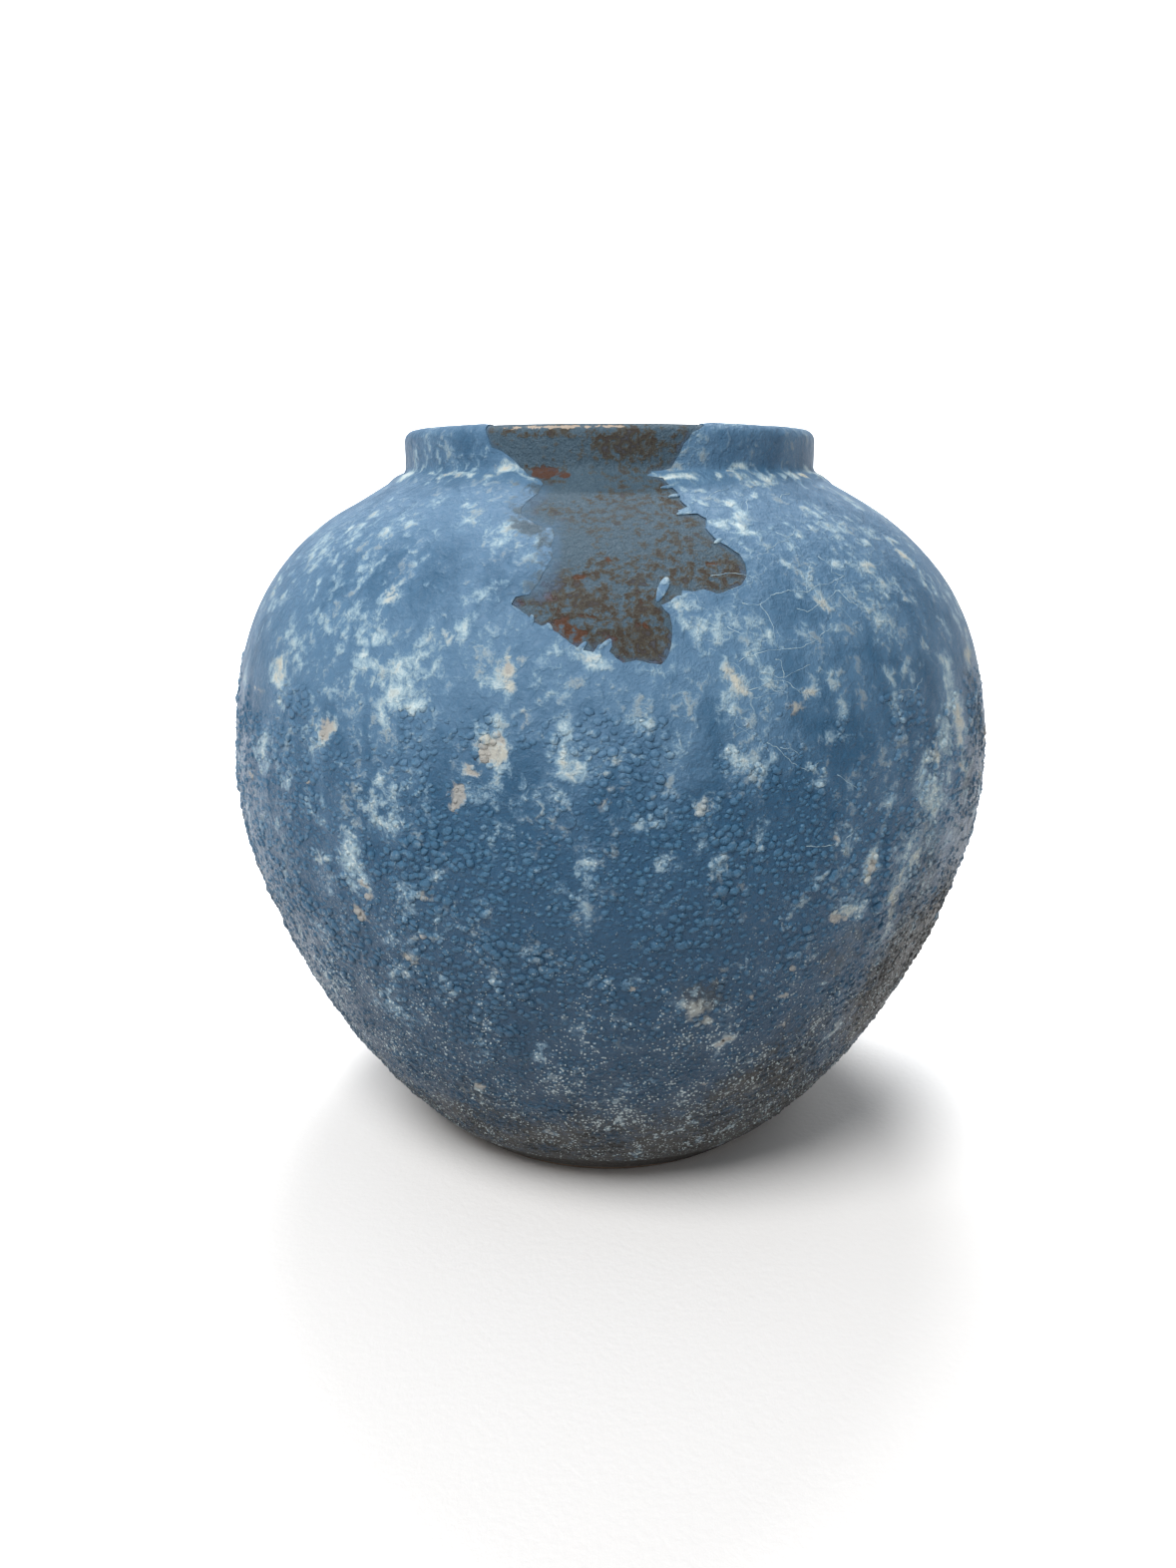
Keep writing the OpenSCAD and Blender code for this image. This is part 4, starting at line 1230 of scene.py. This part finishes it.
class VASE_OT_tongues(bpy.types.Operator):
    """Model the tongues of glaze that run over the bare patch"""
    bl_idname = "vase.tongues"
    bl_label = "Glaze tongues"

    def execute(self, context):
        _, surface = pot()
        made = []
        for round_deg, up, half_wide, half_long, lean in TONGUES:
            bpy.ops.object.select_all(action="DESELECT")
            bpy.ops.mesh.primitive_uv_sphere_add(segments=16, ring_count=10, radius=MM)
            piece = bpy.context.object
            bpy.ops.object.mode_set(mode="EDIT")
            bpy.ops.mesh.select_all(action="SELECT")
            bpy.ops.transform.resize(value=(half_wide, half_long, 0.5))
            bpy.ops.object.mode_set(mode="OBJECT")
            # Wider towards its upper end, as a drop that has run
            co = read(piece)
            co[:, 0] *= 1 + 0.25 * co[:, 1] / (half_long * MM)
            write(piece, co)
            lay_on(piece, surface, round_deg, up, lean, -0.5)
            made.append(piece)
        piece = join(made, "glaze_tongues")
        fields = glaze_fields(surface, *surface.locate(read(piece))[:2])
        fields["milk"] = np.maximum(fields["milk"], 0.5)
        fields["fade"] *= 0
        paint(piece, fields)
        hand_over(piece, "blue_glaze", "mottled blue glaze")
        return {"FINISHED"}


class VASE_OT_blisters(bpy.types.Operator):
    """Model the round blisters in the glaze"""
    bl_idname = "vase.blisters"
    bl_label = "Glaze blisters"

    def execute(self, context):
        _, surface = pot()
        made = []
        for round_deg, up, radius in BLISTERS:
            bpy.ops.object.select_all(action="DESELECT")
            bpy.ops.mesh.primitive_circle_add(vertices=28, radius=radius * MM, fill_type="NGON")
            piece = bpy.context.object
            bpy.ops.object.mode_set(mode="EDIT")
            bpy.ops.mesh.select_all(action="SELECT")
            bpy.ops.mesh.extrude_region_move(TRANSFORM_OT_translate={"value": (0, 0, 0.9 * MM)})
            # A raised ring round a low dome
            bpy.ops.mesh.inset(thickness=0.22 * radius * MM, depth=0.12 * MM)
            bpy.ops.mesh.inset(thickness=0.1 * radius * MM, depth=-0.12 * MM)
            bpy.ops.mesh.inset(thickness=0.3 * radius * MM, depth=0.06 * MM)
            bpy.ops.mesh.poke(offset=0.04 * MM)
            bpy.ops.object.mode_set(mode="OBJECT")
            place = np.array([round_deg]), np.array([up])
            rise = relief(surface.point(*place), *place, surface)[0]
            lay_on(piece, surface, round_deg, up, 0, rise - 0.55)
            made.append(piece)
        piece = join(made, "glaze_blisters")
        paint_glaze(piece, surface)
        hand_over(piece, "blue_glaze", "mottled blue glaze", sharp_from=60)
        return {"FINISHED"}


def crack_line(surface, rng, crack):
    """Places in metres along a crack, about a millimetre apart and slightly shaken."""
    round_deg, up = np.array(crack).T
    run = np.diff(round_deg) * surface.radius(up[0]) * math.pi / 180
    way = np.concatenate([[0], np.cumsum(np.hypot(run, np.diff(up)))])
    at = np.linspace(0, way[-1], max(3, round(way[-1] / 1.1)))
    round_deg = np.interp(at, way, round_deg) + rng.normal(0, 0.08, len(at))
    up = np.interp(at, way, up) + rng.normal(0, 0.14, len(at))
    lift = relief(surface.point(round_deg, up), round_deg, up, surface)
    lift = np.where(inside_patch(round_deg, up), -BARE_SLIP_DEPTH, lift)
    return surface.point(round_deg, up, lift)


class VASE_OT_cracks(bpy.types.Operator):
    """Draw the pale hairline cracks"""
    bl_idname = "vase.cracks"
    bl_label = "Hairline cracks"

    def execute(self, context):
        _, surface = pot()
        rng = np.random.default_rng(5)
        curve = bpy.data.curves.new("crackle", "CURVE")
        curve.dimensions = "3D"
        curve.bevel_depth = context.scene.vase_form.crack_width / 2 * MM
        curve.bevel_resolution = 0
        curve.use_fill_caps = True
        for crack in CRACKS:
            places = crack_line(surface, rng, crack)
            spline = curve.splines.new("POLY")
            spline.points.add(len(places) - 1)
            for point, co in zip(spline.points, places):
                point.co = (*co, 1)
                point.radius = rng.uniform(0.5, 1.2)
        piece = bpy.data.objects.new("crackle", curve)
        context.collection.objects.link(piece)
        pick(piece)
        bpy.ops.object.convert(target="MESH")
        bpy.ops.object.mode_set(mode="EDIT")
        bpy.ops.mesh.select_all(action="SELECT")
        bpy.ops.mesh.remove_doubles(threshold=0.001 * MM)
        finish_mesh()
        hand_over(context.object, "blue_glaze", "crack edge", sharp_from=None)
        return {"FINISHED"}


class VASE_OT_slip_coat(bpy.types.Operator):
    """Turn the iron slip that shows in the patch and at the foot"""
    bl_idname = "vase.slip_coat"
    bl_label = "Iron slip"

    def execute(self, context):
        shape, surface = pot()
        piece = coat("slip_coat", shape, show_depth=BARE_SLIP_DEPTH, back_depth=CLAY_DEPTH + 0.6,
                     foot=SLIP_STOP, spacing=2.3, segments=400)
        co = read(piece)
        round_deg, up, below = surface.locate(co)
        shown = below < BARE_SLIP_DEPTH + 0.2
        marks = all_marks()
        rust = marks_field(marks["rust"], surface, round_deg, up)
        rough = marks_field(ROUGH_SLIP, surface, round_deg, up)
        lift = 0.08 * ripple(co, 14, 5) + 0.2 * rough * ripple(co, 4.5, 6) - 0.12 * rust
        lift -= 0.2 * (1 - smooth(co[:, 2] / MM, 12, 20))
        lift += 0.4 * ridge(up, CREASE_UP, 2.6)
        lift = np.where(shown, lift, 0)
        co += surface.outward(round_deg, up) * (lift * MM)[:, None]
        write(piece, co)
        edge, faded = patch_edge(surface, round_deg, up)
        # A thin film of glaze veils the slip along the patch's edge, widest on the faded side.
        veil = np.maximum((1 - smooth(edge, 0, 9)) * faded, 0.7 * (1 - smooth(edge, 0, 2.2)))
        keep_field(piece, "veil", veil)
        for name in SLIP_MARKS:
            keep_field(piece, name, marks_field(marks[name], surface, round_deg, up))
        hand_over(piece, "iron_slip", "iron slip")
        return {"FINISHED"}


class VASE_OT_liner(bpy.types.Operator):
    """Turn the liner glaze with its throwing rings"""
    bl_idname = "vase.liner"
    bl_label = "Liner glaze"

    def execute(self, context):
        shape, surface = pot()
        inner = shape.wall(WALL_IN, FLOOR_TOP + CLAY_DEPTH)
        outer = shape.wall(LINER_DEPTH, FLOOR_TOP)
        line = Outline("liner", 0, FLOOR_TOP + CLAY_DEPTH)
        centre, radius, first, _ = inner[0]
        line.run_to(centre + polar(radius, first), 24)
        for arc in inner:
            line.curve(arc, 2.4)
        line.run_to((shape.bore_r, shape.slope_z(WALL_IN, shape.bore_r)), 14)
        line.run_to((shape.bore_r, shape.lip_end), 5)
        line.run_to((shape.bore_r + CLAY_DEPTH, shape.lip_end))
        for arc in reversed(outer):
            line.curve(arc, HIDDEN_SPACING, back=True)
        line.run_to((0, FLOOR_TOP))
        piece = line.lathe(288)
        co = read(piece)
        round_deg, up, depth = surface.locate(co)
        pitch = context.scene.vase_form.ring_pitch
        rings = np.sin((up / pitch + round_deg / 360) * math.tau)
        inside = (depth > WALL_IN - 0.3) & (up < 300) & (co[:, 2] > (FLOOR_TOP + 3) * MM)
        lift = np.where(inside, 0.4 * rings + 0.3 * ripple(co, 30, 7), 0)
        co -= surface.outward(round_deg, up) * (np.maximum(lift, -0.4) * MM)[:, None]
        write(piece, co)
        hand_over(piece, "liner_glaze", "liner glaze")
        return {"FINISHED"}


class VASE_OT_clay(bpy.types.Operator):
    """Give the clay sections and the joining slip their finish"""
    bl_idname = "vase.clay"
    bl_label = "Bare clay"

    def execute(self, context):
        finish = material("bare clay")
        for name in ("base_slab", "base_lute", "lower_wall", "belly_lute",
                     "upper_wall", "collar_lute", "neck_collar"):
            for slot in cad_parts[name].material_slots:
                slot.material = finish
        return {"FINISHED"}


def area_light(name, place, aim, size, power, tint):
    """Sets up a round light that looks from one place to another."""
    light = bpy.data.lights.new(name, "AREA")
    light.shape = "DISK"
    light.size = size
    light.energy = power
    light.color = tint
    lamp = bpy.data.objects.new(name, light)
    bpy.context.collection.objects.link(lamp)
    lamp.location = place
    lamp.rotation_euler = (Vector(aim) - Vector(place)).to_track_quat("-Z", "Y").to_euler()


class VASE_OT_stage(bpy.types.Operator):
    """Set the pale sweep, the soft lights and the camera"""
    bl_idname = "vase.stage"
    bl_label = "Stage"

    def execute(self, context):
        stage = context.scene.vase_stage
        bpy.ops.object.select_all(action="DESELECT")
        bpy.ops.mesh.primitive_plane_add(
            size=stage.sweep_size, location=(0, stage.sweep_start - stage.sweep_size / 2, 0))
        sweep = context.object
        sweep.name = "sweep"
        bpy.ops.object.transform_apply(location=True)
        bpy.ops.object.mode_set(mode="EDIT")
        bpy.ops.mesh.select_all(action="DESELECT")
        bpy.ops.object.mode_set(mode="OBJECT")
        for vertex in sweep.data.vertices:
            vertex.select = vertex.co.y > 0
        bpy.ops.object.mode_set(mode="EDIT")
        bpy.ops.mesh.spin(steps=32, angle=math.radians(-90), axis=(1, 0, 0),
                          center=(0, stage.sweep_start, stage.sweep_rise))
        bpy.ops.object.mode_set(mode="OBJECT")
        bpy.ops.object.shade_smooth()
        kit = Kit("pale paper")
        paper = kit.mix(kit.noise(3, 2), srgb(222, 222, 222), srgb(225, 225, 225))
        dress(sweep, kit.finish(paper, 0.9, kit.bump(kit.noise(400), 0.0002)))

        world = bpy.data.worlds.new("studio")
        world.use_nodes = True
        background = world.node_tree.nodes["Background"]
        background.inputs["Color"].default_value = (0.97, 0.98, 1, 1)
        background.inputs["Strength"].default_value = stage.room_light
        context.scene.world = world
        height = HEIGHT * MM
        middle = (0, 0, height * 0.55)
        area_light("key", (-height * 1.4, -height * 3, height * 4.6), middle, height * 2.4,
                   stage.key_power, (1, 0.98, 0.96))
        area_light("backdrop light", (0, height * 4, height * 8), (0, height * 14, height),
                   height * 5, stage.backdrop_power, (1, 1, 1))

        camera = bpy.data.cameras.new("camera")
        camera.lens = stage.lens
        camera.sensor_width = 36
        camera.clip_start = 0.01
        eye = bpy.data.objects.new("camera", camera)
        context.collection.objects.link(eye)
        eye.location = (0, -stage.distance * 2 * BELLY_R * MM, stage.eye_height * height)
        eye.rotation_euler = (math.radians(90) - stage.tilt, 0, stage.turn)
        context.scene.camera = eye
        context.scene.view_settings.view_transform = "Standard"
        return {"FINISHED"}


OPERATORS = (
    VASE_OT_stage, VASE_OT_blue_coat, VASE_OT_beads, VASE_OT_tongues, VASE_OT_blisters,
    VASE_OT_cracks, VASE_OT_slip_coat, VASE_OT_liner, VASE_OT_clay,
)


class VASE_PT_panel(bpy.types.Panel):
    """The vase's pieces"""
    bl_label = "Stoneware vase"
    bl_space_type = "VIEW_3D"
    bl_region_type = "UI"
    bl_category = "Vase"

    def draw(self, context):
        for operator in OPERATORS:
            self.layout.operator(operator.bl_idname)
        scene = context.scene
        for group in (scene.vase_form, scene.vase_colours, scene.vase_stage):
            for name in group.bl_rna.properties.keys():
                if name not in {"rna_type", "name"}:
                    self.layout.prop(group, name)


CLASSES = (VaseForm, VaseColours, VaseStage, *OPERATORS, VASE_PT_panel)


def register():
    for item in CLASSES:
        bpy.utils.register_class(item)
    bpy.types.Scene.vase_form = bpy.props.PointerProperty(type=VaseForm)
    bpy.types.Scene.vase_colours = bpy.props.PointerProperty(type=VaseColours)
    bpy.types.Scene.vase_stage = bpy.props.PointerProperty(type=VaseStage)


def unregister():
    del bpy.types.Scene.vase_stage
    del bpy.types.Scene.vase_colours
    del bpy.types.Scene.vase_form
    for item in reversed(CLASSES):
        bpy.utils.unregister_class(item)


def main():
    """Builds everything with the sidebar's buttons, one after another."""
    register()
    bpy.ops.vase.stage()
    bpy.ops.vase.blue_coat()
    bpy.ops.vase.beads()
    bpy.ops.vase.tongues()
    bpy.ops.vase.blisters()
    bpy.ops.vase.cracks()
    bpy.ops.vase.slip_coat()
    bpy.ops.vase.liner()
    bpy.ops.vase.clay()


if __name__ == "__main__":
    main()
